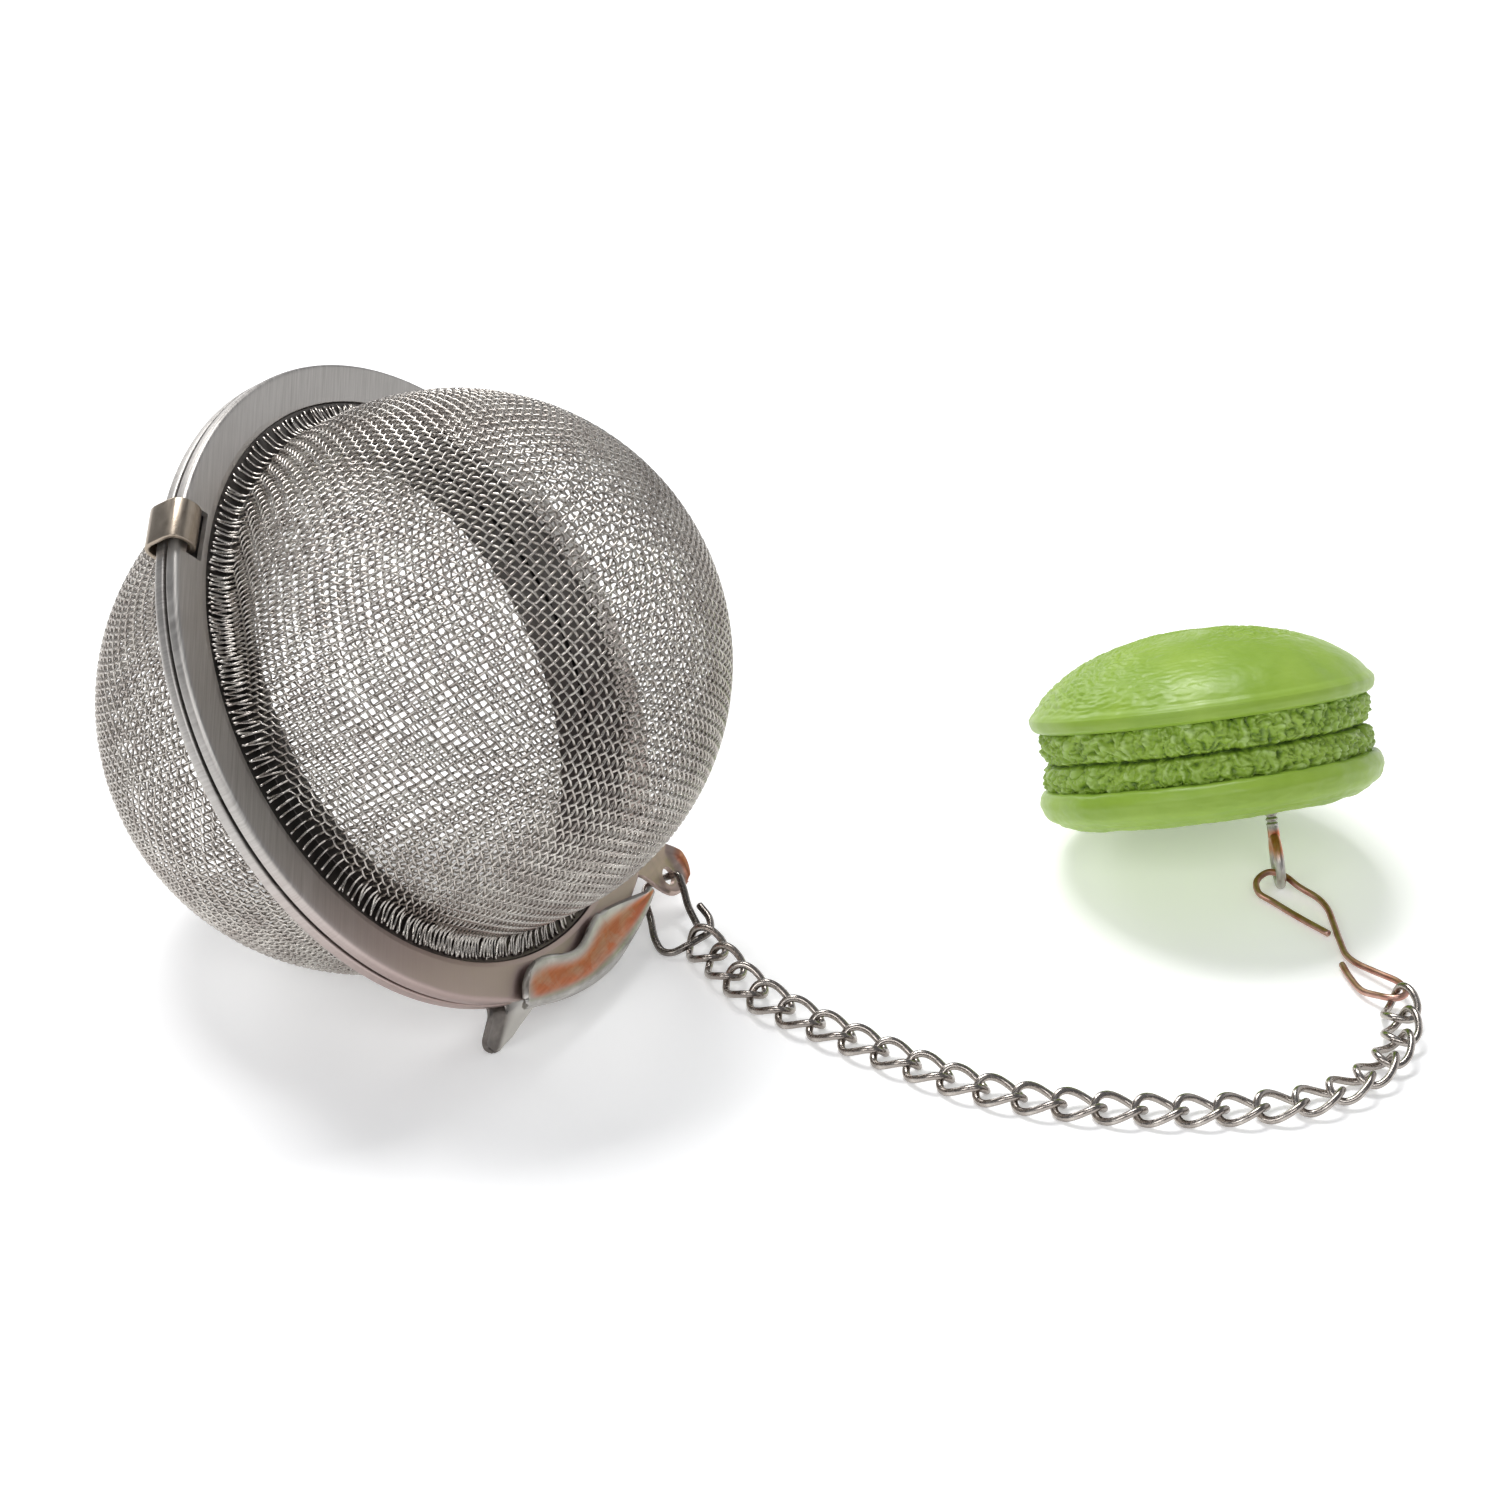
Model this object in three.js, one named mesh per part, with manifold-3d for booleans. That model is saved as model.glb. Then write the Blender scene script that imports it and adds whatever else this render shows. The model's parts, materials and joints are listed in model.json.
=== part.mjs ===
// A ball tea infuser: two woven-wire half balls in stamped steel rims, joined by a loose strap hinge and
// closed by a folded clasp, with a curb chain that ends in a cast resin macaron charm.
// Millimetres, +Z up. Everything lies on the table plane z = 0, with the chain running towards +X.
import * as THREE from 'three';
import { mergeVertices } from 'three/addons/utils/BufferGeometryUtils.js';
import Module from 'manifold-3d';

const wasm = await Module();
wasm.setup();

// ---- the ball -------------------------------------------------------------------------------------
const RIM_RADIUS = 26;          // a 52 mm ball over its rims
const SHEET = 0.55;             // rim sheet thickness
const SEAM = 0.15;              // half the gap between the closed rims
const FLANGE_TOP = 1.25;        // outer face of a flange, measured from the seam
const FLANGE_UNDER = FLANGE_TOP - SHEET;
const HEM_RADIUS = 22.6;        // inside of this the flange steps down to hold the mesh's cut ends
const HEM_FLOOR = 0.95;         // height of that step's floor
const COLLAR_RADIUS = 20.6;     // outside of the collar that the mesh sits over
const COLLAR_END = 3.3;         // how far the collar reaches into its own half
const MESH_OUTER = 21.2;        // outside radius of the domed mesh
const MESH_THICK = 0.4;         // two crossed wires
const DOME_OFFSET = 4.9;        // centre of each dome, measured from the seam
const BALL_LEAN = 55.8;         // rim axis, degrees from upright
const BALL_TURN = -25.4;        // heading of that lean, degrees about +Z
const BALL_HEIGHT = 23.93;      // centre of the closed ball above the table

// ---- strap hinge, clasp and lug: angles go around the rim from its lowest point -------------------
const HINGE_ANGLE = -146;
const SLOT_INNER = 23.4;
const SLOT_OUTER = 24.9;
const SLOT_WIDTH = 4.3;
const STRAP_WIDTH = 3.5;
const STRAP_THICK = 0.4;
const STRAP_NEAR = 24.2;        // centreline radius of the leg in the slots
const STRAP_FAR = 26.75;        // centreline radius of the leg outside the rims
const STRAP_REACH = 1.82;       // centreline distance above and below the seam
const STRAP_CORNER = 1.25;
const CLASP_FROM = -24;
const CLASP_TO = 20.5;
const CLASP_SNUG = 26.3;        // inside of the clasp wall's foot at its thumb end
const CLASP_FLARE = 2.05;       // how much further out that foot stands at its far end
const CLASP_TOP = 26.25;        // inside of the wall where it meets the lip, at its thumb end
const CLASP_SPREAD = 0.6;       // how much further out the lip's bend stands at its far end
const CLASP_ROOF = 1.65;        // underside of the clasp's lip, measured from the seam
const LIP_EDGE = 23.85;         // mean radius of the lip's wavy inner edge
const TAB_ANGLE = -23.4;
const TAB_WIDTH = 3.2;
const TAB_REACH = 28.6;
const TAB_BEND = 39;            // the thumb tab leans away from the near half
const LUG_ANGLE = 28;
const LUG_WIDTH = 4.2;
const LUG_REACH = 30.7;
const EYE_RADIUS = 28.9;        // centre of the lug's hole
const EYE_SHIFT = -0.5;         // the hole stands this much to the clasp's side
const EYE_HOLE = 0.75;

// ---- chain and hooks --------------------------------------------------------------------------------
const WIRE = 0.6;
const LINKS = 24;
const LINK_LENGTH = 4.42;
const LINK_WIDTH = 3.4;
const LINK_TWIST = -42;         // turn of each end out of the link's own plane
const PITCH = 3.08;
const END_ROLL = 30;            // the first and last links lie rolled over
const FIRST_ROLLED = 5;
const LAST_ROLLED = 6;

// ---- charm ------------------------------------------------------------------------------------------
const CHARM_RADIUS = 14.1;
const CHARM_THICK = 14.9;
const CHARM_LEAN = 27.5;
const CHARM_HEADING = 107.2;
const CHARM_SEAT = [68.26, 11.16, 6.54];  // where the eye screw enters the resin
const SCREW_SHIFT = 4.4;                // the eye screw stands this much off the charm's centre
const SHANK_RADIUS = 0.5;
const SHANK_HOLE = 0.8;
const SHANK_DEPTH = 5;
const RING_RADIUS = 1.95;
const RING_WIRE = 0.45;
const RING_DROP = 4.7;                  // centre of the ring below the resin

const rad = THREE.MathUtils.degToRad;

const steel = new THREE.MeshStandardMaterial({ color: 0xb9b6b0, roughness: 0.3, metalness: 1 });
const weave = new THREE.MeshStandardMaterial({ color: 0x9a9a98, roughness: 0.35, metalness: 1 });
const bronzed = new THREE.MeshStandardMaterial({ color: 0x8d8577, roughness: 0.4, metalness: 1 });
const bright = new THREE.MeshStandardMaterial({ color: 0xc9c7c2, roughness: 0.2, metalness: 1 });
const coppery = new THREE.MeshStandardMaterial({ color: 0xa89078, roughness: 0.25, metalness: 1 });
const resin = new THREE.MeshStandardMaterial({ color: 0x96b84c, roughness: 0.4, metalness: 0 });

// A geometry as a solid that can be cut and joined.
function solid(geometry) {
  const bare = geometry.clone();
  bare.deleteAttribute('normal');
  bare.deleteAttribute('uv');
  const merged = mergeVertices(bare, 1e-5);
  return new wasm.Manifold(new wasm.Mesh({
    numProp: 3,
    vertProperties: new Float32Array(merged.attributes.position.array),
    triVerts: new Uint32Array(merged.index.array),
  }));
}

// The geometry of a finished solid.
function surface(body) {
  const mesh = body.simplify(0.01).getMesh();
  const geometry = new THREE.BufferGeometry();
  geometry.setAttribute('position', new THREE.BufferAttribute(mesh.vertProperties, 3));
  geometry.setIndex(new THREE.BufferAttribute(mesh.triVerts, 1));
  geometry.computeVertexNormals();
  return geometry;
}

// A closed profile of [radius, height] pairs, turned about +Z.
function turned(profile, segments) {
  const points = profile.map(([r, z]) => new THREE.Vector2(r, z));
  return new THREE.LatheGeometry(points, segments).rotateX(Math.PI / 2);
}

// Round wire along an open path.
function bentWire(points, radius, steps) {
  const path = new THREE.CatmullRomCurve3(points, false, 'centripetal');
  const section = new THREE.Shape();
  section.absarc(0, 0, radius, 0, 2 * Math.PI, false);
  return new THREE.ExtrudeGeometry(section, {
    steps,
    curveSegments: 4,
    bevelEnabled: false,
    extrudePath: path,
  });
}

// Moves every vertex of a geometry with a rule from old to new position.
function reshaped(geometry, rule) {
  const position = geometry.attributes.position;
  const point = new THREE.Vector3();
  for (let i = 0; i < position.count; i += 1) {
    point.fromBufferAttribute(position, i);
    rule(point);
    position.setXYZ(i, point.x, point.y, point.z);
  }
  geometry.computeVertexNormals();
  return geometry;
}

function named(name, geometry, material) {
  const mesh = new THREE.Mesh(geometry, material);
  mesh.name = name;
  return mesh;
}

// ---- one half of the ball, its seam at z = 0 and its dome towards +Z --------------------------------
function meshCup() {
  const inner = MESH_OUTER - MESH_THICK;
  const foot = HEM_FLOOR + 0.08;
  const arcSteps = 9;
  const profile = [[MESH_OUTER + 0.8, foot], [MESH_OUTER + 0.8, foot + MESH_THICK]];
  for (let i = 0; i <= arcSteps; i += 1) {
    const a = (i / arcSteps) * (Math.PI / 2);
    const r = i === arcSteps ? 0 : MESH_OUTER * Math.cos(a);
    profile.push([r, DOME_OFFSET + MESH_OUTER * Math.sin(a)]);
  }
  for (let i = arcSteps; i >= 0; i -= 1) {
    const a = (i / arcSteps) * (Math.PI / 2);
    const r = i === arcSteps ? 0 : inner * Math.cos(a);
    profile.push([r, DOME_OFFSET + inner * Math.sin(a)]);
  }
  profile.push([inner, foot]);
  profile.push([MESH_OUTER + 0.8, foot]);
  return turned(profile, 44);
}

function rimRing() {
  const skirt = RIM_RADIUS - SHEET;
  const profile = [
    [COLLAR_RADIUS - 0.5, SEAM],
    [COLLAR_RADIUS, SEAM],
    [COLLAR_RADIUS, FLANGE_UNDER],
    [skirt, FLANGE_UNDER],
    [skirt, SEAM],
    [RIM_RADIUS, SEAM],
    [RIM_RADIUS, FLANGE_TOP - 0.4],
    [RIM_RADIUS - 0.12, FLANGE_TOP - 0.12],
    [RIM_RADIUS - 0.4, FLANGE_TOP],
    [HEM_RADIUS, FLANGE_TOP],
    [HEM_RADIUS, HEM_FLOOR],
    [COLLAR_RADIUS, HEM_FLOOR],
    [COLLAR_RADIUS, COLLAR_END],
    [COLLAR_RADIUS - 0.5, COLLAR_END],
    [COLLAR_RADIUS - 0.5, SEAM],
  ];
  return solid(turned(profile, 60));
}

function slotCutter(angle) {
  const cutter = new THREE.BoxGeometry(SLOT_OUTER - SLOT_INNER, SLOT_WIDTH, 4);
  cutter.translate((SLOT_OUTER + SLOT_INNER) / 2, 0, 0);
  cutter.rotateZ(rad(angle));
  return solid(cutter);
}

// The near rim carries a flat ear with the chain's hole; its tip is curled up.
function nearRim() {
  const start = RIM_RADIUS - 0.9;
  const tongue = new THREE.Shape();
  tongue.moveTo(start, -LUG_WIDTH / 2 - 0.6);
  tongue.lineTo(RIM_RADIUS + 0.9, -LUG_WIDTH / 2);
  tongue.lineTo(LUG_REACH - LUG_WIDTH / 2, -LUG_WIDTH / 2);
  tongue.absarc(LUG_REACH - LUG_WIDTH / 2, 0, LUG_WIDTH / 2, -Math.PI / 2, Math.PI / 2, false);
  tongue.lineTo(RIM_RADIUS + 0.9, LUG_WIDTH / 2);
  tongue.lineTo(start, LUG_WIDTH / 2 + 0.6);
  const hole = new THREE.Path();
  hole.absarc(EYE_RADIUS, EYE_SHIFT, EYE_HOLE, 0, 2 * Math.PI, true);
  tongue.holes.push(hole);
  const ear = new THREE.ExtrudeGeometry(tongue, { depth: SHEET - 0.08, curveSegments: 8, bevelEnabled: false });
  ear.translate(0, 0, FLANGE_UNDER + 0.04);
  reshaped(ear, (p) => {
    p.z += 0.5 * Math.max(0, p.x - EYE_RADIUS - EYE_HOLE - 0.15) ** 2;
  });
  ear.rotateZ(rad(LUG_ANGLE));
  return rimRing().subtract(slotCutter(HINGE_ANGLE)).add(solid(ear));
}

// Radius of the lip's inner edge: a soft wave that runs out into a point at the far end.
function lipEdge(along) {
  const wave = -0.4 * Math.cos((2 * Math.PI * (along - 0.18)) / 0.46);
  if (along < 0.66) return LIP_EDGE + wave;
  return LIP_EDGE - 0.2 + 2.85 * ((along - 0.66) / 0.31) ** 1.5;
}

// The far rim carries the clasp, whose wall leans in over the seam and folds onto the near flange.
function farRim() {
  const root = RIM_RADIUS - 0.9;
  const span = CLASP_TO - CLASP_FROM;
  const section = new THREE.Shape();
  section.moveTo(-3, -FLANGE_TOP + 0.1);
  section.lineTo(0.1, -FLANGE_TOP);
  section.lineTo(0.5, -FLANGE_UNDER);
  section.lineTo(0.5, CLASP_ROOF + 0.25);
  section.lineTo(0.25, CLASP_ROOF + 0.5);
  section.lineTo(-2, CLASP_ROOF + 0.5);
  section.lineTo(-2, CLASP_ROOF);
  section.lineTo(0, CLASP_ROOF);
  section.lineTo(0, -FLANGE_UNDER);
  section.lineTo(-3, -FLANGE_UNDER - 0.1);
  const clasp = new THREE.ExtrudeGeometry(section, { depth: 1, steps: 16, bevelEnabled: false });
  reshaped(clasp, (p) => {
    const along = 1 - p.z;
    const foot = CLASP_SNUG + CLASP_FLARE * THREE.MathUtils.smoothstep(along, 0.08, 0.85);
    const top = CLASP_TOP + CLASP_SPREAD * along;
    const height = THREE.MathUtils.clamp((p.y + FLANGE_UNDER) / (CLASP_ROOF + FLANGE_UNDER), 0, 1);
    let r = foot + (top - foot) * height + p.x;
    if (p.x === -3) r = root;
    if (p.x === -2) r = Math.min(lipEdge(along), top - 0.3);
    const a = rad(CLASP_FROM + span * along);
    p.set(r * Math.cos(a), r * Math.sin(a), p.y);
  });
  const length = (TAB_REACH - RIM_RADIUS) / Math.cos(rad(TAB_BEND));
  const tab = new THREE.BoxGeometry(length, TAB_WIDTH, SHEET - 0.1, 6, 1, 1);
  tab.translate(length / 2, 0, -(SHEET - 0.1) / 2);
  tab.rotateY(rad(TAB_BEND));
  tab.translate(RIM_RADIUS - 0.4, 0, -FLANGE_UNDER - 0.02);
  tab.rotateZ(rad(TAB_ANGLE));
  const ring = rimRing().rotate([180, 0, 0]);
  return ring.subtract(slotCutter(HINGE_ANGLE)).add(solid(clasp)).add(solid(tab));
}

function hingeStrap() {
  const outline = (grow) => {
    const shape = new THREE.Shape();
    const x0 = STRAP_NEAR - grow;
    const x1 = STRAP_FAR + grow;
    const y0 = -STRAP_REACH - grow;
    const y1 = STRAP_REACH + grow;
    const corner = STRAP_CORNER + grow;
    shape.moveTo(x0 + corner, y0);
    shape.lineTo(x1 - corner, y0);
    shape.absarc(x1 - corner, y0 + corner, corner, -Math.PI / 2, 0, false);
    shape.lineTo(x1, y1 - corner);
    shape.absarc(x1 - corner, y1 - corner, corner, 0, Math.PI / 2, false);
    shape.lineTo(x0 + corner, y1);
    shape.absarc(x0 + corner, y1 - corner, corner, Math.PI / 2, Math.PI, false);
    shape.lineTo(x0, y0 + corner);
    shape.absarc(x0 + corner, y0 + corner, corner, Math.PI, 1.5 * Math.PI, false);
    return shape;
  };
  const band = outline(STRAP_THICK / 2);
  band.holes.push(outline(-STRAP_THICK / 2));
  const strap = new THREE.ExtrudeGeometry(band, { depth: STRAP_WIDTH, curveSegments: 5, bevelEnabled: false });
  strap.translate(0, 0, -STRAP_WIDTH / 2);
  strap.rotateX(Math.PI / 2);
  return strap.rotateZ(rad(HINGE_ANGLE));
}

const ball = new THREE.Group();
ball.position.set(0, 0, BALL_HEIGHT);
ball.rotation.set(0, rad(BALL_LEAN), rad(BALL_TURN), 'ZYX');
const farCup = named('far_mesh_cup', meshCup(), weave);
farCup.rotation.x = Math.PI;
ball.add(farCup);
ball.add(named('far_rim_with_clasp', surface(farRim()), steel));
ball.add(named('hinge_strap', hingeStrap(), bronzed));
ball.add(named('near_mesh_cup', meshCup(), weave));
ball.add(named('near_rim_with_lug', surface(nearRim()), steel));

// ---- chain: each link is a closed wire oval with its two ends turned out of plane --------------------
function chainLink() {
  const a = (LINK_LENGTH - WIRE) / 2;
  const b = (LINK_WIDTH - WIRE) / 2;
  const centre = (t) => {
    const x = a * Math.sign(Math.cos(t)) * Math.abs(Math.cos(t)) ** 0.85;
    const y = b * Math.sign(Math.sin(t)) * Math.abs(Math.sin(t)) ** 0.85;
    const turn = rad(LINK_TWIST) * (x / a);
    return new THREE.Vector3(x, y * Math.cos(turn), y * Math.sin(turn));
  };
  const link = new THREE.TorusGeometry(1, WIRE / 2, 7, 18);
  return reshaped(link, (p) => {
    const t = Math.atan2(p.y, p.x);
    const side = Math.hypot(p.x, p.y) - 1;
    const lift = p.z;
    const here = centre(t);
    const along = centre(t + 0.02).sub(centre(t - 0.02)).normalize();
    const out = here.clone().addScaledVector(along, -here.dot(along)).normalize();
    const up = new THREE.Vector3().crossVectors(out, along).normalize();
    p.copy(here).addScaledVector(out, side).addScaledVector(up, lift);
  });
}

// The chain's route over the table, from the ball's hook to the charm's hook.
const route = new THREE.CatmullRomCurve3([
  new THREE.Vector3(21.7, -0.95, 1.26),
  new THREE.Vector3(23.6, -3.9, 1.27),
  new THREE.Vector3(25.3, -7.2, 1.15),
  new THREE.Vector3(28.3, -10.4, 1.0),
  new THREE.Vector3(32.3, -13.6, 0.86),
  new THREE.Vector3(37.4, -17.5, 0.82),
  new THREE.Vector3(42.8, -21.3, 0.82),
  new THREE.Vector3(48.0, -23.4, 0.82),
  new THREE.Vector3(54.6, -24.6, 0.82),
  new THREE.Vector3(61.7, -24.7, 0.84),
  new THREE.Vector3(68.8, -23.6, 1.0),
  new THREE.Vector3(74.0, -19.8, 1.12),
  new THREE.Vector3(76.4, -15.2, 1.25),
  new THREE.Vector3(76.8, -11.5, 1.3),
  new THREE.Vector3(76.6, -9.1, 1.32),
], false, 'centripetal');
route.arcLengthDivisions = 2000;

// Points where neighbouring links meet, one pitch apart in a straight line.
function meetingPoints() {
  const total = route.getLength();
  const points = [route.getPointAt(0)];
  let s = 0;
  for (let i = 0; i < LINKS; i += 1) {
    let low = s;
    let high = Math.min(1, s + (1.5 * PITCH) / total);
    for (let k = 0; k < 40; k += 1) {
      const middle = (low + high) / 2;
      if (route.getPointAt(middle).distanceTo(points[i]) < PITCH) low = middle;
      else high = middle;
    }
    s = low;
    points.push(route.getPointAt(s));
  }
  return points;
}

function linkRoll(i) {
  const start = Math.max(0, 1 - i / FIRST_ROLLED);
  const end = Math.max(0, 1 - (LINKS - 1 - i) / LAST_ROLLED);
  return rad(END_ROLL) * (start - end);
}

const chain = new THREE.Group();
const meets = meetingPoints();
for (let i = 0; i < LINKS; i += 1) {
  const along = meets[i + 1].clone().sub(meets[i]).normalize();
  const across = new THREE.Vector3(0, 0, 1).cross(along).normalize();
  const up = along.clone().cross(across);
  const link = named(`chain_link_${String(i + 1).padStart(2, '0')}`, chainLink(), bright);
  const pose = new THREE.Matrix4().makeBasis(along, across, up);
  pose.multiply(new THREE.Matrix4().makeRotationX(linkRoll(i)));
  link.quaternion.setFromRotationMatrix(pose);
  link.position.copy(meets[i]).lerp(meets[i + 1], 0.5);
  chain.add(link);
}

// ---- the wire hook through the lug, bent into a small closed triangle --------------------------------
const ballHook = named('ball_hook', bentWire([
  new THREE.Vector3(21.9, 1.0, 1.35),
  new THREE.Vector3(21.2, 2.5, 2.1),
  new THREE.Vector3(20.75, 3.9, 3.1),
  new THREE.Vector3(20.3, 4.8, 3.65),
  new THREE.Vector3(19.43, 5.3, 3.15),
  new THREE.Vector3(18.6, 5.7, 2.55),
  new THREE.Vector3(17.8, 5.4, 2.1),
  new THREE.Vector3(17.75, 4.0, 1.8),
  new THREE.Vector3(18.2, 1.8, 1.3),
  new THREE.Vector3(18.6, -0.5, 0.8),
  new THREE.Vector3(19.2, -1.6, 0.45),
  new THREE.Vector3(20.0, -1.95, 0.55),
  new THREE.Vector3(21.1, -1.72, 1.02),
  new THREE.Vector3(21.95, -1.22, 1.28),
  new THREE.Vector3(22.9, -0.35, 1.5),
  new THREE.Vector3(22.9, 1.1, 1.8),
  new THREE.Vector3(22.1, 2.5, 2.2),
], WIRE / 2, 42), bright);

// ---- the S-shaped wire hook between the chain and the charm ------------------------------------------
const charmHook = named('charm_hook', bentWire([
  new THREE.Vector3(72.4, 1.1, 0.4),
  new THREE.Vector3(70.3, 3.6, 0.35),
  new THREE.Vector3(68.3, 6.05, 0.4),
  new THREE.Vector3(67.3, 6.8, 0.72),
  new THREE.Vector3(67.2, 7.9, 1.18),
  new THREE.Vector3(68.2, 8.72, 1.51),
  new THREE.Vector3(69.5, 8.38, 1.34),
  new THREE.Vector3(70.56, 7.35, 0.98),
  new THREE.Vector3(72, 6.15, 0.62),
  new THREE.Vector3(72.63, 4.85, 0.5),
  new THREE.Vector3(72.92, 2.7, 0.45),
  new THREE.Vector3(73.18, 0.05, 0.42),
  new THREE.Vector3(73.5, -2.2, 0.45),
  new THREE.Vector3(74.14, -3.55, 0.56),
  new THREE.Vector3(75.6, -5.3, 0.78),
  new THREE.Vector3(76.95, -6.9, 1.02),
  new THREE.Vector3(77.45, -8.3, 1.2),
  new THREE.Vector3(77.3, -9.3, 1.28),
  new THREE.Vector3(76.65, -9.8, 1.31),
  new THREE.Vector3(75.9, -9.55, 1.2),
  new THREE.Vector3(75.3, -8.9, 0.95),
  new THREE.Vector3(74.2, -7.7, 0.6),
  new THREE.Vector3(73.45, -5.5, 0.45),
  new THREE.Vector3(73.02, -3.5, 0.4),
], WIRE / 2, 56), coppery);

// ---- the charm, its axis up and its flat bottom at z = 0 ---------------------------------------------
function macaron() {
  const R = CHARM_RADIUS;
  const profile = [
    [0, 0],
    [R * 0.55, 0.05],
    [R * 0.8, 0.35],
    [R * 0.92, 1.2],
    [R * 0.98, 2.0],
    [R, 2.6],
    [R * 0.985, 3.1],
    [R * 0.955, 3.4],
    [R * 0.96, 4.5],
    [R * 0.925, 5.6],
    [R * 0.955, 6.8],
    [R * 0.95, 8.1],
    [R * 0.985, 8.4],
    [R, 9.1],
    [R * 0.985, 10.0],
    [R * 0.92, 11.3],
    [R * 0.8, 12.75],
    [R * 0.55, 14.15],
    [R * 0.28, CHARM_THICK - 0.2],
    [0, CHARM_THICK],
  ];
  const body = solid(turned(profile, 48));
  const hole = new THREE.CylinderGeometry(SHANK_HOLE, SHANK_HOLE, SHANK_DEPTH + 1, 12).rotateX(Math.PI / 2);
  hole.translate(SCREW_SHIFT, 0, SHANK_DEPTH / 2 - 0.2);
  return surface(body.subtract(solid(hole)));
}

function eyeScrew() {
  const ring = new THREE.TorusGeometry(RING_RADIUS, RING_WIRE, 8, 20).rotateY(Math.PI / 2);
  ring.translate(0, 0, -RING_DROP);
  const length = SHANK_DEPTH - 0.4 + RING_DROP - RING_RADIUS;
  const shank = new THREE.CylinderGeometry(SHANK_RADIUS, SHANK_RADIUS, length, 12).rotateX(Math.PI / 2);
  shank.translate(0, 0, SHANK_DEPTH - 0.4 - length / 2);
  return surface(solid(ring).add(solid(shank)));
}

const charm = new THREE.Group();
charm.position.set(...CHARM_SEAT);
const lean = new THREE.Vector3(
  Math.cos(rad(CHARM_HEADING)) * Math.sin(rad(CHARM_LEAN)),
  Math.sin(rad(CHARM_HEADING)) * Math.sin(rad(CHARM_LEAN)),
  Math.cos(rad(CHARM_LEAN)),
);
const rightward = new THREE.Vector3(1, 0, 0).addScaledVector(lean, -lean.x).normalize();
const backward = lean.clone().cross(rightward);
charm.quaternion.setFromRotationMatrix(new THREE.Matrix4().makeBasis(rightward, backward, lean));
const shells = named('macaron_charm', macaron(), resin);
shells.position.x = -SCREW_SHIFT;
charm.add(shells);
charm.add(named('eye_screw', eyeScrew(), bright));

// ---- the whole object, centred over the origin and standing on z = 0 ----------------------------------
const infuser = new THREE.Group();
infuser.add(ball, ballHook, chain, charmHook, charm);
infuser.updateMatrixWorld(true);
const box = new THREE.Box3().setFromObject(infuser, true);
infuser.position.set(-(box.min.x + box.max.x) / 2, -(box.min.y + box.max.y) / 2, -box.min.z);

export default infuser;
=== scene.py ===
"""The looks of a ball tea infuser: woven wire half balls in stamped rims, a strap hinge, a folded clasp,
a curb chain with bent wire hooks, and a cast resin macaron charm on an eye screw.
Lengths are millimetres until a piece is made; MM turns them into the scene's metres."""

import json
import math

import bpy
import numpy as np
from mathutils import Matrix, Vector, noise


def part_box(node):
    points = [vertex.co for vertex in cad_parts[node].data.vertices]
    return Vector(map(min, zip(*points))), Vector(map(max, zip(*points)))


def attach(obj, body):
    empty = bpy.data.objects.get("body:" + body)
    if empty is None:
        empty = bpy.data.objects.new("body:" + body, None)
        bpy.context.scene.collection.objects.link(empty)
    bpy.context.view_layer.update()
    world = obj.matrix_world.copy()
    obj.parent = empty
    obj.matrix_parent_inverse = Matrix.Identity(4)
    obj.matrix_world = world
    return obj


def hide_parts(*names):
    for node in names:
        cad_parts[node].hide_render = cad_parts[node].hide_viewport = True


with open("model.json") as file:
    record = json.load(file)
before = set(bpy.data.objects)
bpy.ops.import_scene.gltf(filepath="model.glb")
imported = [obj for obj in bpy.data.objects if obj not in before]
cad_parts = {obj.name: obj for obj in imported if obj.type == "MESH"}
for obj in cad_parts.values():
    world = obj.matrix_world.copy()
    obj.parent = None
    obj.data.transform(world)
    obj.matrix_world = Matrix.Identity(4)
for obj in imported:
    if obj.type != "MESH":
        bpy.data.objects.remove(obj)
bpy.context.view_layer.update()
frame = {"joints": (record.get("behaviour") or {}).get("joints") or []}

MM = 0.001

# ---- driving dimensions, as in the CAD part ---------------------------------------------------------
RIM_RADIUS = 26.0
SHEET = 0.55
SEAM = 0.15
FLANGE_TOP = 1.25
FLANGE_UNDER = FLANGE_TOP - SHEET
HEM_RADIUS = 22.85              # inner edge of the bare flange, where the mesh is pressed in
CHANNEL_FLOOR = 0.95            # the groove that holds the cut wire ends
COLLAR_RADIUS = 20.6
COLLAR_END = 3.3
MESH_RADIUS = 21.0              # middle of the woven mesh
DOME_OFFSET = 4.9
WEAVE_PITCH = 0.69
WEAVE_WIRE = 0.2
WEAVE_HEADING = 8.5             # direction of one set of wires around the dome, from the rim's lowest point
BRUSH_HEADING = -50.0           # the flanges were brushed in one straight direction
HINGE_ANGLE = -146.0
SLOT_INNER = 23.4
SLOT_OUTER = 24.9
SLOT_WIDTH = 4.3
STRAP_WIDTH = 3.5
STRAP_THICK = 0.4
STRAP_NEAR = 24.2
STRAP_FAR = 26.75
STRAP_REACH = 1.82
STRAP_CORNER = 1.25
CLASP_FROM = -24.0
CLASP_TO = 20.5
CLASP_SNUG = 26.3
CLASP_FLARE = 2.05
CLASP_TOP = 26.25
CLASP_SPREAD = 0.6
CLASP_ROOF = 1.65
CLASP_SHEET = 0.5
CLASP_CUTAWAY = 5.0             # degrees by which the wall's foot starts later than its lip
LIP_EDGE = 23.85
TAB_ANGLE = -23.4
TAB_WIDTH = 3.2
TAB_REACH = 28.6
TAB_BEND = 39.0
LUG_ANGLE = 28.0
LUG_WIDTH = 4.2
LUG_REACH = 30.7
EYE_RADIUS = 28.9
EYE_SHIFT = -0.5
EYE_HOLE = 0.75
WIRE = 0.6
LINKS = 24
LINK_LENGTH = 4.42
LINK_WIDTH = 3.4
LINK_TWIST = -42.0
END_ROLL = 30.0
FIRST_ROLLED = 5
LAST_ROLLED = 6
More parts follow.
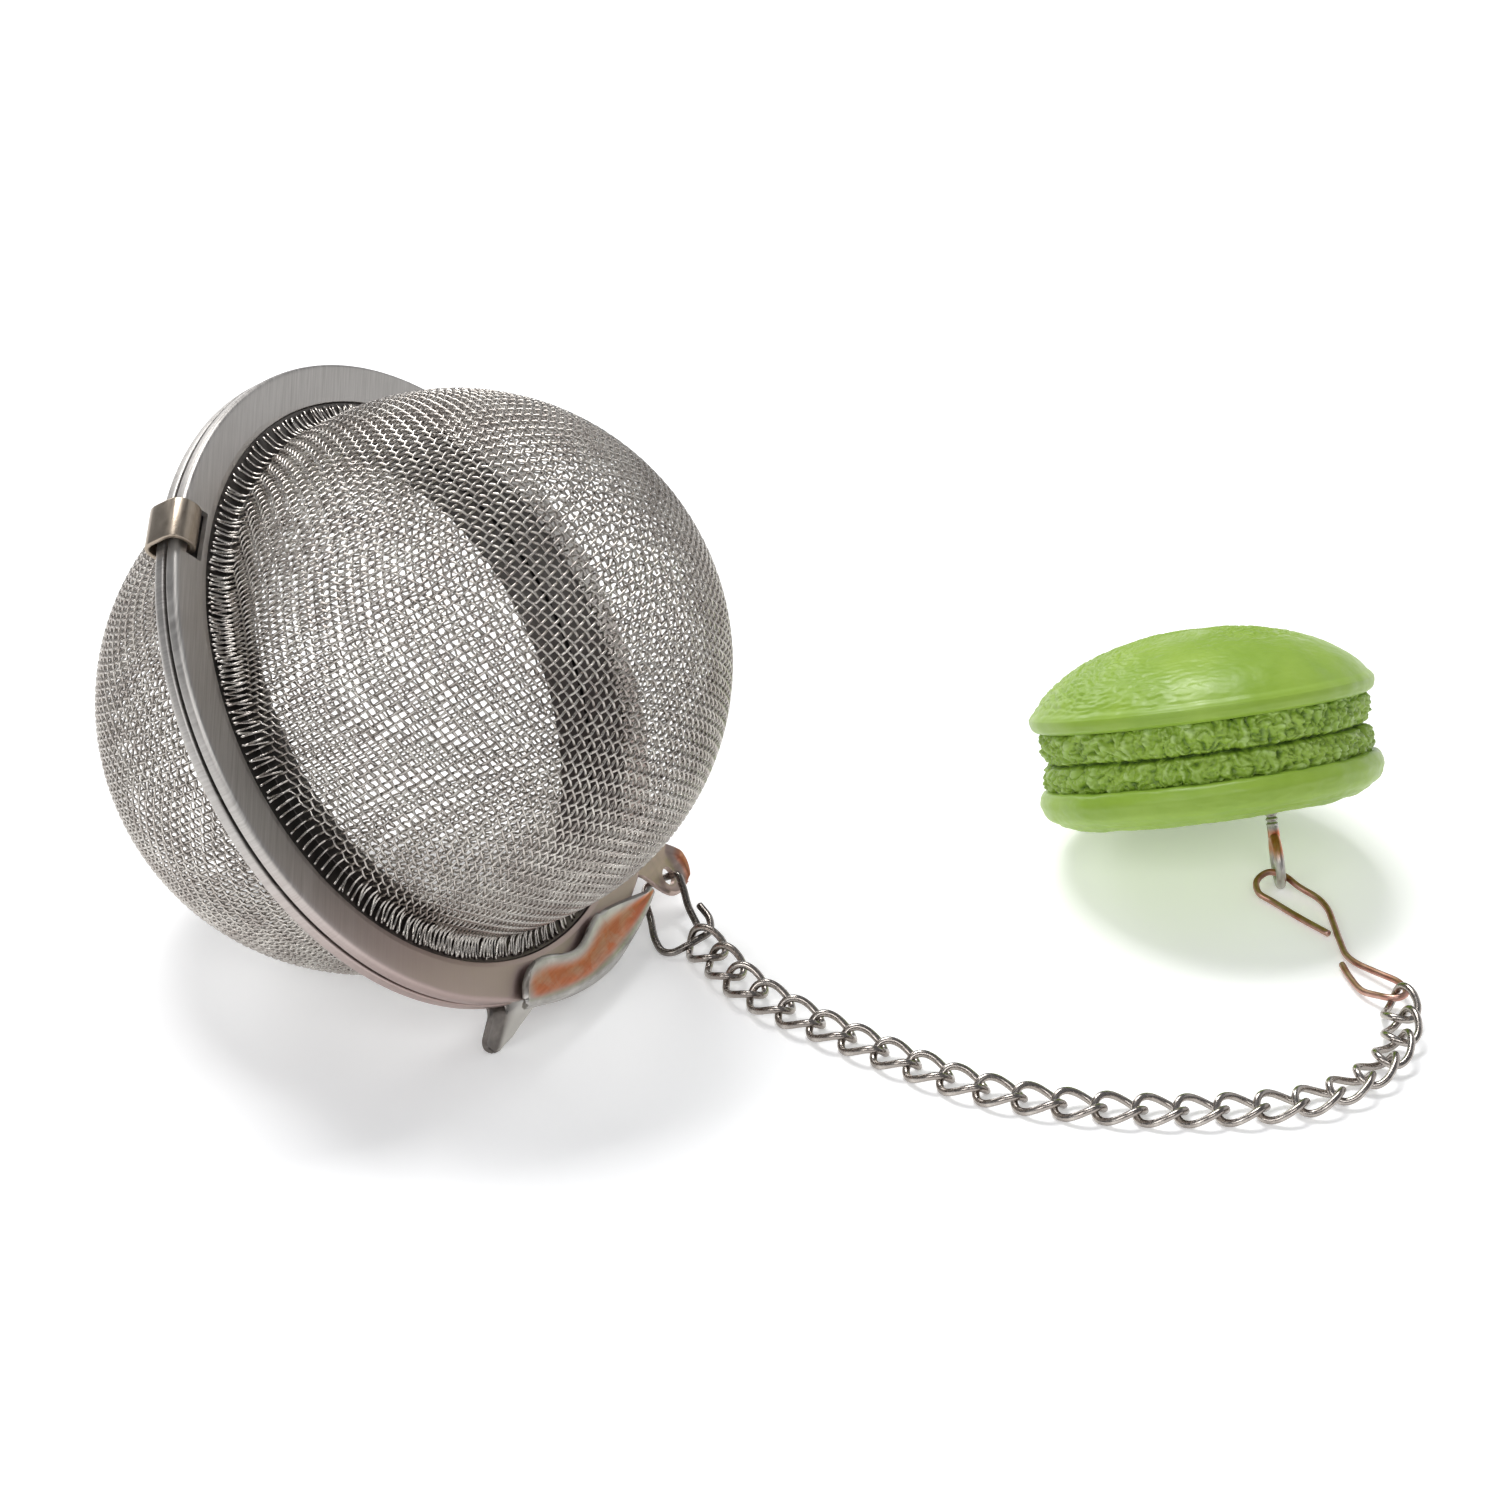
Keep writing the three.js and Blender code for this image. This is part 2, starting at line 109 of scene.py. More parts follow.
CHARM_RADIUS = 14.1
CHARM_THICK = 14.9
CHARM_LEAN = 27.5
CHARM_HEADING = 107.2
SCREW_SHIFT = 4.4
SHANK_RADIUS = 0.5
SHANK_DEPTH = 5.0
RING_RADIUS = 1.95
RING_WIRE = 0.45
HOOK_PLAY = 0.03  # the charm hook and the ring are this much slimmer than in CAD, to clear at their limits
RING_PLAY = 0.05
RING_DROP = 4.7

# The wire paths and the charm's seat count from the corner where the CAD part was drawn.
CHAIN_START = Vector((21.7, -0.95, 1.26))
CHARM_SEAT = Vector((68.26, 11.16, 6.54))
BALL_HOOK_PATH = [
    (21.9, 1.0, 1.35), (21.2, 2.5, 2.1), (20.75, 3.9, 3.1), (20.3, 4.8, 3.65), (19.43, 5.3, 3.15),
    (18.6, 5.7, 2.55), (17.8, 5.4, 2.1), (17.75, 4.0, 1.8), (18.2, 1.8, 1.3), (18.6, -0.5, 0.8),
    (19.2, -1.6, 0.45), (20.0, -1.95, 0.55), (21.1, -1.72, 1.02), (21.95, -1.22, 1.28),
    (22.9, -0.35, 1.5), (22.9, 1.1, 1.8), (22.1, 2.5, 2.2),
]
CHARM_HOOK_PATH = [
    (72.4, 1.1, 0.4), (70.3, 3.6, 0.35), (68.3, 6.05, 0.4), (67.3, 6.8, 0.72), (67.2, 7.9, 1.18),
    (68.2, 8.72, 1.51), (69.5, 8.38, 1.34), (70.56, 7.35, 0.98), (72, 6.15, 0.62), (72.63, 4.85, 0.5),
    (72.92, 2.7, 0.45), (73.18, 0.05, 0.42), (73.5, -2.2, 0.45), (74.14, -3.55, 0.56), (75.6, -5.3, 0.78),
    (76.95, -6.9, 1.02), (77.45, -8.3, 1.2), (77.3, -9.3, 1.28), (76.65, -9.8, 1.31), (75.9, -9.55, 1.2),
    (75.3, -8.9, 0.95), (74.2, -7.7, 0.6), (73.45, -5.5, 0.45), (73.02, -3.5, 0.4),
]

# ---- the camera and the light -----------------------------------------------------------------------
CAMERA_ELEVATION = 30.0
CAMERA_DISTANCE = 0.40
CAMERA_LENS = 123.84
CAMERA_AIM = Vector((-0.00058, -0.00313, 0.01945))


# ---- places that come from the frame ----------------------------------------------------------------
joints = {joint["name"]: joint for joint in frame["joints"]}


def joint_point(name):
    return Vector(joints[name]["pos_m"]) / MM


drawn_from = joint_point("chain_joint_01") - CHAIN_START


def rigid(x, y, z, origin):
    """A place with those axes, its origin in millimetres."""
    turn = Matrix((x, y, z)).transposed().to_4x4()
    return Matrix.Translation(origin * MM) @ turn


def ball_place():
    corners = [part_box(node) for node in ("near_mesh_cup", "far_mesh_cup")]
    low = Vector(min(c[0][k] for c in corners) for k in range(3))
    high = Vector(max(c[1][k] for c in corners) for k in range(3))
    axis = Vector(joints["near_half_twist"]["axis"]).normalized()
    down = (axis * axis.z - Vector((0, 0, 1))).normalized()
    return rigid(down, axis.cross(down), axis, (low + high) / 2 / MM)


def charm_place():
    lean, heading = math.radians(CHARM_LEAN), math.radians(CHARM_HEADING)
    up = Vector((math.cos(heading) * math.sin(lean), math.sin(heading) * math.sin(lean), math.cos(lean)))
    right = (Vector((1, 0, 0)) - up * up.x).normalized()
    return rigid(right, up.cross(right), up, CHARM_SEAT + drawn_from)


NEAR = ball_place()
FAR = NEAR @ Matrix.Rotation(math.pi, 4, "X")
CHARM = charm_place()
AS_DRAWN = Matrix.Translation(drawn_from * MM)


# ---- making pieces ----------------------------------------------------------------------------------
def piece(name, vertices, faces, place, body, slot, material, replaces=(), holes=(), sharp=50):
    """A mesh from points in millimetres, cut, set in place and fastened to its body."""
    mesh = plain_mesh(name, vertices, faces)
    thing = bpy.data.objects.new(name, mesh)
    bpy.context.scene.collection.objects.link(thing)
    for hole in holes:
        cut(thing, *hole)
    mesh = thing.data
    mesh.name = name
    own = np.empty(len(mesh.vertices) * 3, np.float32)
    mesh.vertices.foreach_get("co", own)
    mesh.attributes.new("own", "FLOAT_VECTOR", "POINT").data.foreach_set("vector", own / MM)
    mesh.transform(place)
    mesh.shade_smooth()
    mesh.set_sharp_from_angle(angle=math.radians(sharp))
    mesh.materials.clear()
    mesh.materials.append(material)
    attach(thing, body)
    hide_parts(*replaces)
    return thing


def plain_mesh(name, vertices, faces):
    mesh = bpy.data.meshes.new(name)
    mesh.from_pydata((np.asarray(vertices, float) * MM).tolist(), [], faces)
    mesh.validate()
    return mesh


def joined(*parts):
    """Several (vertices, faces) as one."""
    vertices, faces, start = [], [], 0
    for points, polygons in parts:
        vertices.append(np.asarray(points, float))
        faces += [tuple(start + i for i in polygon) for polygon in polygons]
        start += len(points)
    return np.concatenate(vertices), faces


def cut(thing, vertices, faces):
    """Takes a closed shape, drawn in the piece's own millimetres, out of the piece."""
    cutter = bpy.data.objects.new("cutter", plain_mesh("cutter", vertices, faces))
    bpy.context.scene.collection.objects.link(cutter)
    modifier = thing.modifiers.new("cut", "BOOLEAN")
    modifier.operation = "DIFFERENCE"
    modifier.solver = "EXACT"
    modifier.object = cutter
    bpy.context.view_layer.update()
    result = bpy.data.meshes.new_from_object(thing.evaluated_get(bpy.context.evaluated_depsgraph_get()))
    thing.modifiers.clear()
    thing.data = result
    bpy.data.objects.remove(cutter)


def grid_faces(rows, columns, rows_close=False, columns_close=False, start=0):
    """Quads over a grid of points stored row by row."""
    i = np.arange(rows if rows_close else rows - 1)[:, None]
    j = np.arange(columns if columns_close else columns - 1)[None, :]
    i_next, j_next = (i + 1) % rows, (j + 1) % columns
    corners = (i * columns + j, i_next * columns + j, i_next * columns + j_next, i * columns + j_next)
    stacked = np.stack([np.broadcast_to(c, (i.size, j.size)) for c in corners], -1) + start
    return [tuple(face) for face in stacked.reshape(-1, 4).tolist()]


def rounded(corners, steps=5):
    """A closed outline of (x, y, radius) corners, each rounded to its radius."""
    points = []
    count = len(corners)
    for k in range(count):
        before, here, after = (Vector(corners[(k + d) % count][:2]) for d in (-1, 0, 1))
        radius = corners[k][2]
        a, b = (before - here).normalized(), (after - here).normalized()
        half = a.angle(b) / 2
        if radius == 0 or half > math.radians(88):
            points.append(here)
            continue
        reach = min(radius / math.tan(half), 0.49 * (before - here).length, 0.49 * (after - here).length)
        start, end = here + a * reach, here + b * reach
        for s in range(steps + 1):
            t = s / steps
            points.append(start * (1 - t) ** 2 + here * 2 * t * (1 - t) + end * t * t)
    return np.array([tuple(p) for p in points])


def lathe(outline, segments):
    """A closed outline of (radius, height) points turned about the z axis."""
    angle = np.linspace(0, 2 * math.pi, segments, endpoint=False)[:, None]
    r, z = outline[:, 0][None, :], outline[:, 1][None, :]
    points = np.stack([r * np.cos(angle), r * np.sin(angle), z + 0 * angle], -1).reshape(-1, 3)
    return points, grid_faces(segments, len(outline), rows_close=True, columns_close=True)


def block(x0, x1, y0, y1, z0, z1, heading=0.0):
    """A box, turned about the z axis."""
    c, s = math.cos(math.radians(heading)), math.sin(math.radians(heading))
    corners = [(x, y, z) for x in (x0, x1) for y in (y0, y1) for z in (z0, z1)]
    points = [(x * c - y * s, x * s + y * c, z) for x, y, z in corners]
    faces = [(0, 1, 3, 2), (4, 6, 7, 5), (0, 4, 5, 1), (2, 3, 7, 6), (0, 2, 6, 4), (1, 5, 7, 3)]
    return points, faces


def peg(x, y, radius, z0, z1, sides=40):
    """An upright cylinder."""
    angle = np.linspace(0, 2 * math.pi, sides, endpoint=False)
    ring = np.stack([x + radius * np.cos(angle), y + radius * np.sin(angle)], -1)
    low, high = (np.column_stack([ring, np.full(sides, z)]) for z in (z0, z1))
    faces = [(k, (k + 1) % sides, sides + (k + 1) % sides, sides + k) for k in range(sides)]
    return np.concatenate([low, high]), faces + [tuple(range(sides))[::-1], tuple(range(sides, 2 * sides))]


def thick(grid, thickness):
    """A sheet of even thickness whose middle surface is a grid of points; its cut edges are rounded."""
    normal = np.cross(np.gradient(grid, axis=0), np.gradient(grid, axis=1))
    normal /= np.linalg.norm(normal, axis=-1, keepdims=True)
    rows, columns = grid.shape[:2]
    top, under = grid + normal * thickness / 2, grid - normal * thickness / 2
    rim = [(0, j) for j in range(columns)] + [(i, columns - 1) for i in range(1, rows)]
    rim += [(rows - 1, j) for j in range(columns - 2, -1, -1)] + [(i, 0) for i in range(rows - 2, 0, -1)]
    edge = []
    for i, j in rim:
        outward = grid[i, j] - grid[min(max(i, 1), rows - 2), min(max(j, 1), columns - 2)]
        outward = outward - normal[i, j] * outward.dot(normal[i, j])
        edge.append(grid[i, j] + outward / np.linalg.norm(outward) * thickness * 0.3)
    points = np.concatenate([top.reshape(-1, 3), under.reshape(-1, 3), np.array(edge)])
    below = rows * columns
    faces = grid_faces(rows, columns)
    faces += [face[::-1] for face in grid_faces(rows, columns, start=below)]
    for k, (a, b) in enumerate(zip(rim, rim[1:] + rim[:1])):
        over_a, over_b = a[0] * columns + a[1], b[0] * columns + b[1]
        edge_a, edge_b = 2 * below + k, 2 * below + (k + 1) % len(rim)
        faces += [(over_a, over_b, edge_b, edge_a), (edge_a, edge_b, over_b + below, over_a + below)]
    return points, faces


def smooth_path(points, per_span):
    """A centripetal curve through the points, as the CAD part bends its wires."""
    points = [np.array(p, float) for p in points]
    points = [2 * points[0] - points[1], *points, 2 * points[-1] - points[-2]]
    curve = []
    for a, b, c, d in zip(points, points[1:], points[2:], points[3:]):
        t1 = np.linalg.norm(b - a) ** 0.5
        t2 = t1 + np.linalg.norm(c - b) ** 0.5
        t3 = t2 + np.linalg.norm(d - c) ** 0.5
        for t in np.linspace(t1, t2, per_span, endpoint=False):
            p, q = a + (b - a) * t / t1, b + (c - b) * (t - t1) / (t2 - t1)
            r = c + (d - c) * (t - t2) / (t3 - t2)
            u, v = p + (q - p) * t / t2, q + (r - q) * (t - t1) / (t3 - t1)
            curve.append(u + (v - u) * (t - t1) / (t2 - t1))
    curve.append(points[-2])
    return np.array(curve)


def carried_normals(path):
    """A direction square to an open path, carried along it without twisting."""
    step = np.gradient(path, axis=0)
    step /= np.linalg.norm(step, axis=1, keepdims=True)
    side = np.cross(step[0], (0.0, 0.3, 1.0))
    sides = []
    for direction in step:
        side = side - direction * side.dot(direction)
        side /= np.linalg.norm(side)
        sides.append(side)
    return np.array(sides)


def wire(path, normals, radius, sides, closed=False, domed=0.0):
    """Round wire along a path. An open end is flat, or domed with that share of the radius."""
    radius = np.broadcast_to(np.asarray(radius, float), (len(path),))
    if domed and not closed:
        step_in, step_out = path[0] - path[1], path[-1] - path[-2]
        caps = [path[0] + step_in / np.linalg.norm(step_in) * radius[0] * domed]
        caps.append(path[-1] + step_out / np.linalg.norm(step_out) * radius[-1] * domed)
        path = np.concatenate([caps[:1], path, caps[1:]])
        normals = np.concatenate([normals[:1], normals, normals[-1:]])
        radius = np.concatenate([radius[:1] * 0.6, radius, radius[-1:] * 0.6])
    if closed:
        step = np.roll(path, -1, 0) - np.roll(path, 1, 0)
    else:
        step = np.gradient(path, axis=0)
    step /= np.linalg.norm(step, axis=1, keepdims=True)
    up = normals - step * np.sum(normals * step, 1, keepdims=True)
    up /= np.linalg.norm(up, axis=1, keepdims=True)
    across = np.cross(step, up)
    angle = np.linspace(0, 2 * math.pi, sides, endpoint=False)[None, :, None]
    ring = up[:, None] * np.cos(angle) + across[:, None] * np.sin(angle)
    points = (path[:, None] + ring * radius[:, None, None]).reshape(-1, 3)
    faces = grid_faces(len(path), sides, rows_close=closed, columns_close=True)
    faces = [face[::-1] for face in faces]
    if not closed:
        last = (len(path) - 1) * sides
        faces += [tuple(range(sides))[::-1], tuple(range(last, last + sides))]
    return points, faces


# ---- materials --------------------------------------------------------------------------------------
class Shader:
    """A material's node tree, built a node at a time."""

    def __init__(self, name):
        self.material = bpy.data.materials.new(name)
        self.material.use_nodes = True
        self.tree = self.material.node_tree
        self.surface = self.tree.nodes["Principled BSDF"]

    def node(self, kind, **settings):
        made = self.tree.nodes.new(kind)
        for key, value in settings.items():
            if key in made.inputs:
                self.feed(value, made.inputs[key])
            else:
                setattr(made, key, value)
        return made

    def feed(self, value, socket):
        if isinstance(value, bpy.types.NodeSocket):
            self.tree.links.new(value, socket)
        else:
            socket.default_value = value

    def set(self, **values):
        for key, value in values.items():
            self.feed(value, self.surface.inputs[key.replace("_", " ")])

    def place(self, scale, heading=0.0):
        """The piece's own coordinates in millimetres, turned by heading and then scaled."""
        own = self.node("ShaderNodeAttribute", attribute_name="own").outputs["Vector"]
        turned = self.node("ShaderNodeMapping", Vector=own, Rotation=(0, 0, -math.radians(heading)))
        return self.node("ShaderNodeMapping", Vector=turned.outputs[0], Scale=scale).outputs[0]

    def noise(self, scale, heading=0.0, detail=4.0, rough=0.55, warp=0.0):
        where = self.place(scale if isinstance(scale, tuple) else (scale,) * 3, heading)
        made = self.node("ShaderNodeTexNoise", Vector=where, Scale=1.0, Detail=detail, Roughness=rough)
        made.inputs["Distortion"].default_value = warp
        return made.outputs["Fac"]

    def span(self, value, low, high, start=0.3, end=0.7, smooth=False):
        """The value's stretch from start to end, mapped on low to high."""
        made = self.node("ShaderNodeMapRange", Value=value)
        made.interpolation_type = "SMOOTHSTEP" if smooth else "LINEAR"
        for key, number in (("From Min", start), ("From Max", end), ("To Min", low), ("To Max", high)):
            made.inputs[key].default_value = number
        return made.outputs["Result"]

    def mix(self, share, first, second, blend="MIX"):
        made = self.node("ShaderNodeMix", data_type="RGBA", blend_type=blend)
        self.feed(share, made.inputs["Factor"])
        colours = [s for s in made.inputs if s.type == "RGBA"]
        self.feed(first if isinstance(first, bpy.types.NodeSocket) else (*first, 1), colours[0])
        self.feed(second if isinstance(second, bpy.types.NodeSocket) else (*second, 1), colours[1])
        return next(s for s in made.outputs if s.type == "RGBA")

    def mask(self, name):
        """A 0 to 1 mask stored on the piece."""
        return self.node("ShaderNodeAttribute", attribute_name=name).outputs["Fac"]

    def bump(self, height, strength, depth):
        made = self.node("ShaderNodeBump", Height=height, Strength=strength, Distance=depth * MM)
        self.feed(made.outputs[0], self.surface.inputs["Normal"])


def per_mm(*sizes):
    """Noise scales whose features have those sizes in millimetres."""
    return tuple(1 / size for size in sizes)


def brushed_steel():
    """Straight brush lines, a faint painted reflection of the copper clasp on the flange towards it, and painted shade
    that darkens the groove.
    """
    s = Shader("brushed_steel")
    lines = s.noise(per_mm(5.0, 0.16, 5.0), BRUSH_HEADING, detail=5, rough=0.65)
    clouds = s.noise(per_mm(6, 6, 6)[0], detail=4, warp=0.4)
    tone = s.mix(s.span(lines, 0, 1), (0.38, 0.36, 0.34), (0.58, 0.56, 0.535))
    tone = s.mix(s.span(clouds, 0, 0.3), tone, (0.40, 0.375, 0.35))
    # painted reflection: a copper cast from the clasp, strongest on the flange near it
    tone = s.mix(s.span(s.mask("painted_light"), 0, 0.75, 0, 1), tone, (0.50, 0.365, 0.335))
    # painted shade: the groove inside the hem is darkened almost to black
    tone = s.mix(s.span(s.mask("groove_painted_shade"), 0, 0.85, 0, 1), tone, (0.045, 0.04, 0.037))
    s.set(Base_Color=tone, Metallic=1.0, Roughness=s.span(lines, 0.36, 0.54))
    s.bump(lines, 0.35, 0.012)
    return s.material


def tab_painted_shade_steel():
    """The thumb tab's sheet, painted dark as painted shade, with the plain steel tone along its curled edge."""
    s = Shader("tab_painted_shade_steel")
    scuffs = s.noise(per_mm(1.2, 0.2, 1.2), TAB_ANGLE, detail=5, rough=0.6, warp=0.4)
    clouds = s.noise(per_mm(1.5, 1.5, 1.5)[0], detail=4)
    # painted shade: the tab's dark tone
    tone = s.mix(s.span(clouds, 0, 1), (0.25, 0.225, 0.205), (0.14, 0.125, 0.115))
    # plain steel tone along the curled edge, where no shade is painted
    tone = s.mix(s.mask("painted_light"), tone, (0.56, 0.54, 0.50))
    s.set(Base_Color=tone, Metallic=1.0, Roughness=s.span(scuffs, 0.26, 0.42))
    s.bump(scuffs, 0.3, 0.01)
    return s.material


def warm_steel():
    """Polished steel sheet; where its mask is set, copper is painted on as a reflection of warm surroundings, streaked
    with bare steel.
    """
    s = Shader("warm_steel")
    scuffs = s.noise(per_mm(2.4, 0.22, 2.4), 90.0, detail=5, rough=0.62, warp=0.4)
    clouds = s.noise(per_mm(2.2, 2.2, 2.2)[0], detail=4, warp=0.6)
    steel = s.mix(s.span(clouds, 0, 1), (0.58, 0.56, 0.53), (0.38, 0.36, 0.335))
    # painted reflection: the copper colour of warm surroundings
    copper = s.mix(s.span(clouds, 0, 1, 0.4, 0.68, True), (0.62, 0.20, 0.10), (0.60, 0.32, 0.22))
    copper = s.mix(s.span(scuffs, 0, 0.4), copper, (0.36, 0.12, 0.065))
    tone = s.mix(s.mask("painted_light"), steel, copper)
    s.set(Base_Color=tone, Metallic=1.0, Roughness=s.span(scuffs, 0.34, 0.5))
    s.bump(scuffs, 0.25, 0.01)
    return s.material


def woven_steel():
    s = Shader("woven_steel")
    clouds = s.noise(per_mm(2.5, 2.5, 2.5)[0], detail=3)
    drawn = s.noise(per_mm(0.5, 0.5, 0.5)[0], detail=3)
    tone = s.mix(s.span(clouds, 0, 1), (0.62, 0.59, 0.545), (0.40, 0.36, 0.33))
    s.set(Base_Color=tone, Metallic=1.0, Roughness=s.span(drawn, 0.2, 0.36))
    return s.material


def bronze_steel():
    s = Shader("bronze_steel")
    lines = s.noise(per_mm(0.18, 2.4, 2.4), HINGE_ANGLE, detail=5, rough=0.65)
    patches = s.noise(per_mm(1.5, 1.5, 1.5)[0], detail=4, warp=0.5)
    tone = s.mix(s.span(patches, 0, 1), (0.40, 0.335, 0.265), (0.25, 0.205, 0.16))
    tone = s.mix(s.span(lines, 0, 0.6), tone, (0.52, 0.455, 0.375))
    s.set(Base_Color=tone, Metallic=1.0, Roughness=s.span(lines, 0.26, 0.42))
    s.bump(lines, 0.3, 0.012)
    return s.material


def tumbled_wire(name, light, dark, gloss=0.17):
    s = Shader(name)
    patches = s.noise(per_mm(1.4, 1.4, 1.4)[0], detail=4)
    fine = s.noise(per_mm(0.25, 0.25, 0.25)[0], detail=4)
    s.set(Base_Color=s.mix(s.span(patches, 0, 1), light, dark), Metallic=1.0)
    s.set(Roughness=s.span(fine, gloss, gloss + 0.15))
    s.bump(fine, 0.15, 0.008)
    return s.material


def green_resin():
    """Painted resin whose colour also carries painted shade and painted highlight: deeper green in the creases, paler
    on the high spots.
    """
    s = Shader("green_resin")
    depth = s.node("ShaderNodeAttribute", attribute_name="relief").outputs["Fac"]
    clouds = s.noise(per_mm(5, 5, 5)[0], detail=4)
    fine = s.noise(per_mm(0.32, 0.32, 0.32)[0], detail=6, rough=0.65, warp=0.3)
    pores = s.noise(per_mm(0.9, 0.9, 0.9)[0], detail=3)
    tone = s.mix(s.span(clouds, 0, 1), (0.230, 0.375, 0.034), (0.300, 0.450, 0.056))
    # painted shade: deeper green in the creases and the groove between the feet
    tone = s.mix(s.span(depth, 0.9, 0, 0.0, 0.42), tone, (0.055, 0.125, 0.011))
    # painted highlight: paler green on the high spots
    tone = s.mix(s.span(depth, 0, 0.55, 0.62, 1.0), tone, (0.50, 0.66, 0.27))
    s.set(Base_Color=tone, Roughness=s.span(pores, 0.34, 0.5), Coat_Weight=0.05, Coat_Roughness=0.3)
    s.bump(fine, 0.3, 0.03)
    return s.material


STEEL = brushed_steel()
SHADED = tab_painted_shade_steel()
WARM = warm_steel()
WOVEN = woven_steel()
BRONZE = bronze_steel()
CHAIN = tumbled_wire("chain_wire", (0.52, 0.48, 0.44), (0.28, 0.245, 0.22))
DARK_WIRE = tumbled_wire("dark_wire", (0.30, 0.275, 0.25), (0.15, 0.135, 0.125))
COPPERY = tumbled_wire("hook_wire", (0.56, 0.37, 0.31), (0.40, 0.16, 0.115), gloss=0.32)
RESIN = green_resin()


# ---- the woven domes --------------------------------------------------------------------------------
HEM_HEIGHT = 2.1                # the mesh turns outward here, into the rim
STUB_BEND = 0.9
STUB_TURN = 1.25


def above_dome(point):
    """How far a point stands outside the mesh's middle surface."""
    if point.z > DOME_OFFSET:
        return (point - Vector((0, 0, DOME_OFFSET))).length - MESH_RADIUS
    return math.hypot(point.x, point.y) - MESH_RADIUS


def outward_at(points):
    """The surface's outward direction at points on it."""
    flat = points.copy()
    flat[..., 2] = np.maximum(flat[..., 2] - DOME_OFFSET, 0)
    return flat / np.linalg.norm(flat, axis=-1, keepdims=True)


def net_quarter(cells):
    """A quarter of a net of equal-sided cells, laid over the dome from its pole as real cloth would be."""
    net = [[None] * cells for _ in range(cells)]
    for k in range(cells):
        s = k * WEAVE_PITCH / MESH_RADIUS
        lower = max(0.0, s - math.pi / 2) * MESH_RADIUS
        s = min(s, math.pi / 2)
        r, z = MESH_RADIUS * math.sin(s), DOME_OFFSET + MESH_RADIUS * math.cos(s) - lower
        if z > HEM_HEIGHT - WEAVE_PITCH:
            net[k][0], net[0][k] = Vector((r, 0, z)), Vector((0, r, z))
    for i in range(1, cells):
        for j in range(1, cells):
            a, b, c = net[i - 1][j], net[i][j - 1], net[i - 1][j - 1]
            if a is None or b is None:
                continue
            middle = (a + b) / 2
            reach = WEAVE_PITCH ** 2 - (a - b).length_squared / 4
            if reach < (0.15 * WEAVE_PITCH) ** 2:
                continue
            onward = (middle - c).normalized()
            lift = (a - b).cross(onward).normalized()
            if lift.dot(middle - Vector((0, 0, min(middle.z, DOME_OFFSET)))) < 0:
                lift = -lift
            low, high = -1.4, 0.8
            for _ in range(26):
                tilt = (low + high) / 2
                here = middle + (onward * math.cos(tilt) + lift * math.sin(tilt)) * math.sqrt(reach)
                if above_dome(here) > 0:
                    high = tilt
                else:
                    low = tilt
            if here.z > HEM_HEIGHT - WEAVE_PITCH:
                net[i][j] = here
    return net


def hem_stub(rng, point, step):
    """A cut wire end that runs on from the dome and turns outward into the rim's groove."""
    angle = math.atan2(point[1], point[0])
    sideways = np.array([-math.sin(angle), math.cos(angle), 0.0])
    slant = np.clip(step.dot(sideways) / max(0.25, -step[2]), -0.3, 0.3) + rng.normal(0, 0.03)
    length = rng.uniform(1.95, 2.2)
    path = []
    for s in np.linspace(0.2, length, 6):
        turn = min(s / STUB_BEND, STUB_TURN)
        onward = max(0.0, s - STUB_TURN * STUB_BEND)
        r = MESH_RADIUS + STUB_BEND * (1 - math.cos(turn)) + onward * math.sin(STUB_TURN)
        z = point[2] - STUB_BEND * math.sin(turn) - onward * math.cos(STUB_TURN)
        here = angle + slant * s * 0.8 / r
        path.append((r * math.cos(here), r * math.sin(here), max(z, CHANNEL_FLOOR + 0.12)))
    return np.array(path)


def weave(swapped, seed):
    """Every wire of one direction, going over and under the other direction's wires."""
    rng = np.random.default_rng(seed)
    cells = int((MESH_RADIUS * math.pi / 2 + DOME_OFFSET) / WEAVE_PITCH) + 2
    quarter = net_quarter(cells)
    turn = math.radians(WEAVE_HEADING)
    rotation = np.array([[math.cos(turn), -math.sin(turn), 0], [math.sin(turn), math.cos(turn), 0], [0, 0, 1]])
    parts = []
    for i in range(1 - cells, cells):
        nodes = []
        for j in range(1 - cells, cells):
            corner = quarter[abs(i)][abs(j)]
            if corner is None:
                continue
            x, y, z = corner
            nodes.append((math.copysign(x, i) if i else 0.0, math.copysign(y, j) if j else 0.0, z, j))
        if len(nodes) < 3:
            continue
        nodes = np.array(nodes)
        points, index = nodes[:, :3], nodes[:, 3]
        if swapped:
            points = points[:, [1, 0, 2]]
        points = points @ rotation.T
        spots = np.arange(len(points) - 1)[:, None] + np.array([0.24, 0.76])[None, :]
        spots = spots.reshape(-1)
        low = spots.astype(int)
        share = (spots - low)[:, None]
        path = points[low] * (1 - share) + points[low + 1] * share
        away = outward_at(path)
        parity = np.where((i + index[low]) % 2 == 0, 1.0, -1.0) * (-1.0 if swapped else 1.0)
        wave = parity * np.cos(math.pi * (spots - low)) * WEAVE_WIRE * 0.65
        path = path + away * wave[:, None]
        kept = np.nonzero(path[:, 2] > HEM_HEIGHT)[0]
        if len(kept) < 4:
            continue
        path, away = path[kept[0]:kept[-1] + 1], away[kept[0]:kept[-1] + 1]
        first = hem_stub(rng, path[0], (path[0] - path[2]) / np.linalg.norm(path[0] - path[2]))
        last = hem_stub(rng, path[-1], (path[-1] - path[-3]) / np.linalg.norm(path[-1] - path[-3]))
        path = np.concatenate([first[::-1], path, last])
        side = path * (1, 1, 0.0)
        side /= np.linalg.norm(side, axis=1, keepdims=True)
        away = np.concatenate([side[:6] + (0, 0, 0.8), away, side[-6:] + (0, 0, 0.8)])
        parts.append(wire(path, away, WEAVE_WIRE / 2, 5))
    return joined(*parts)


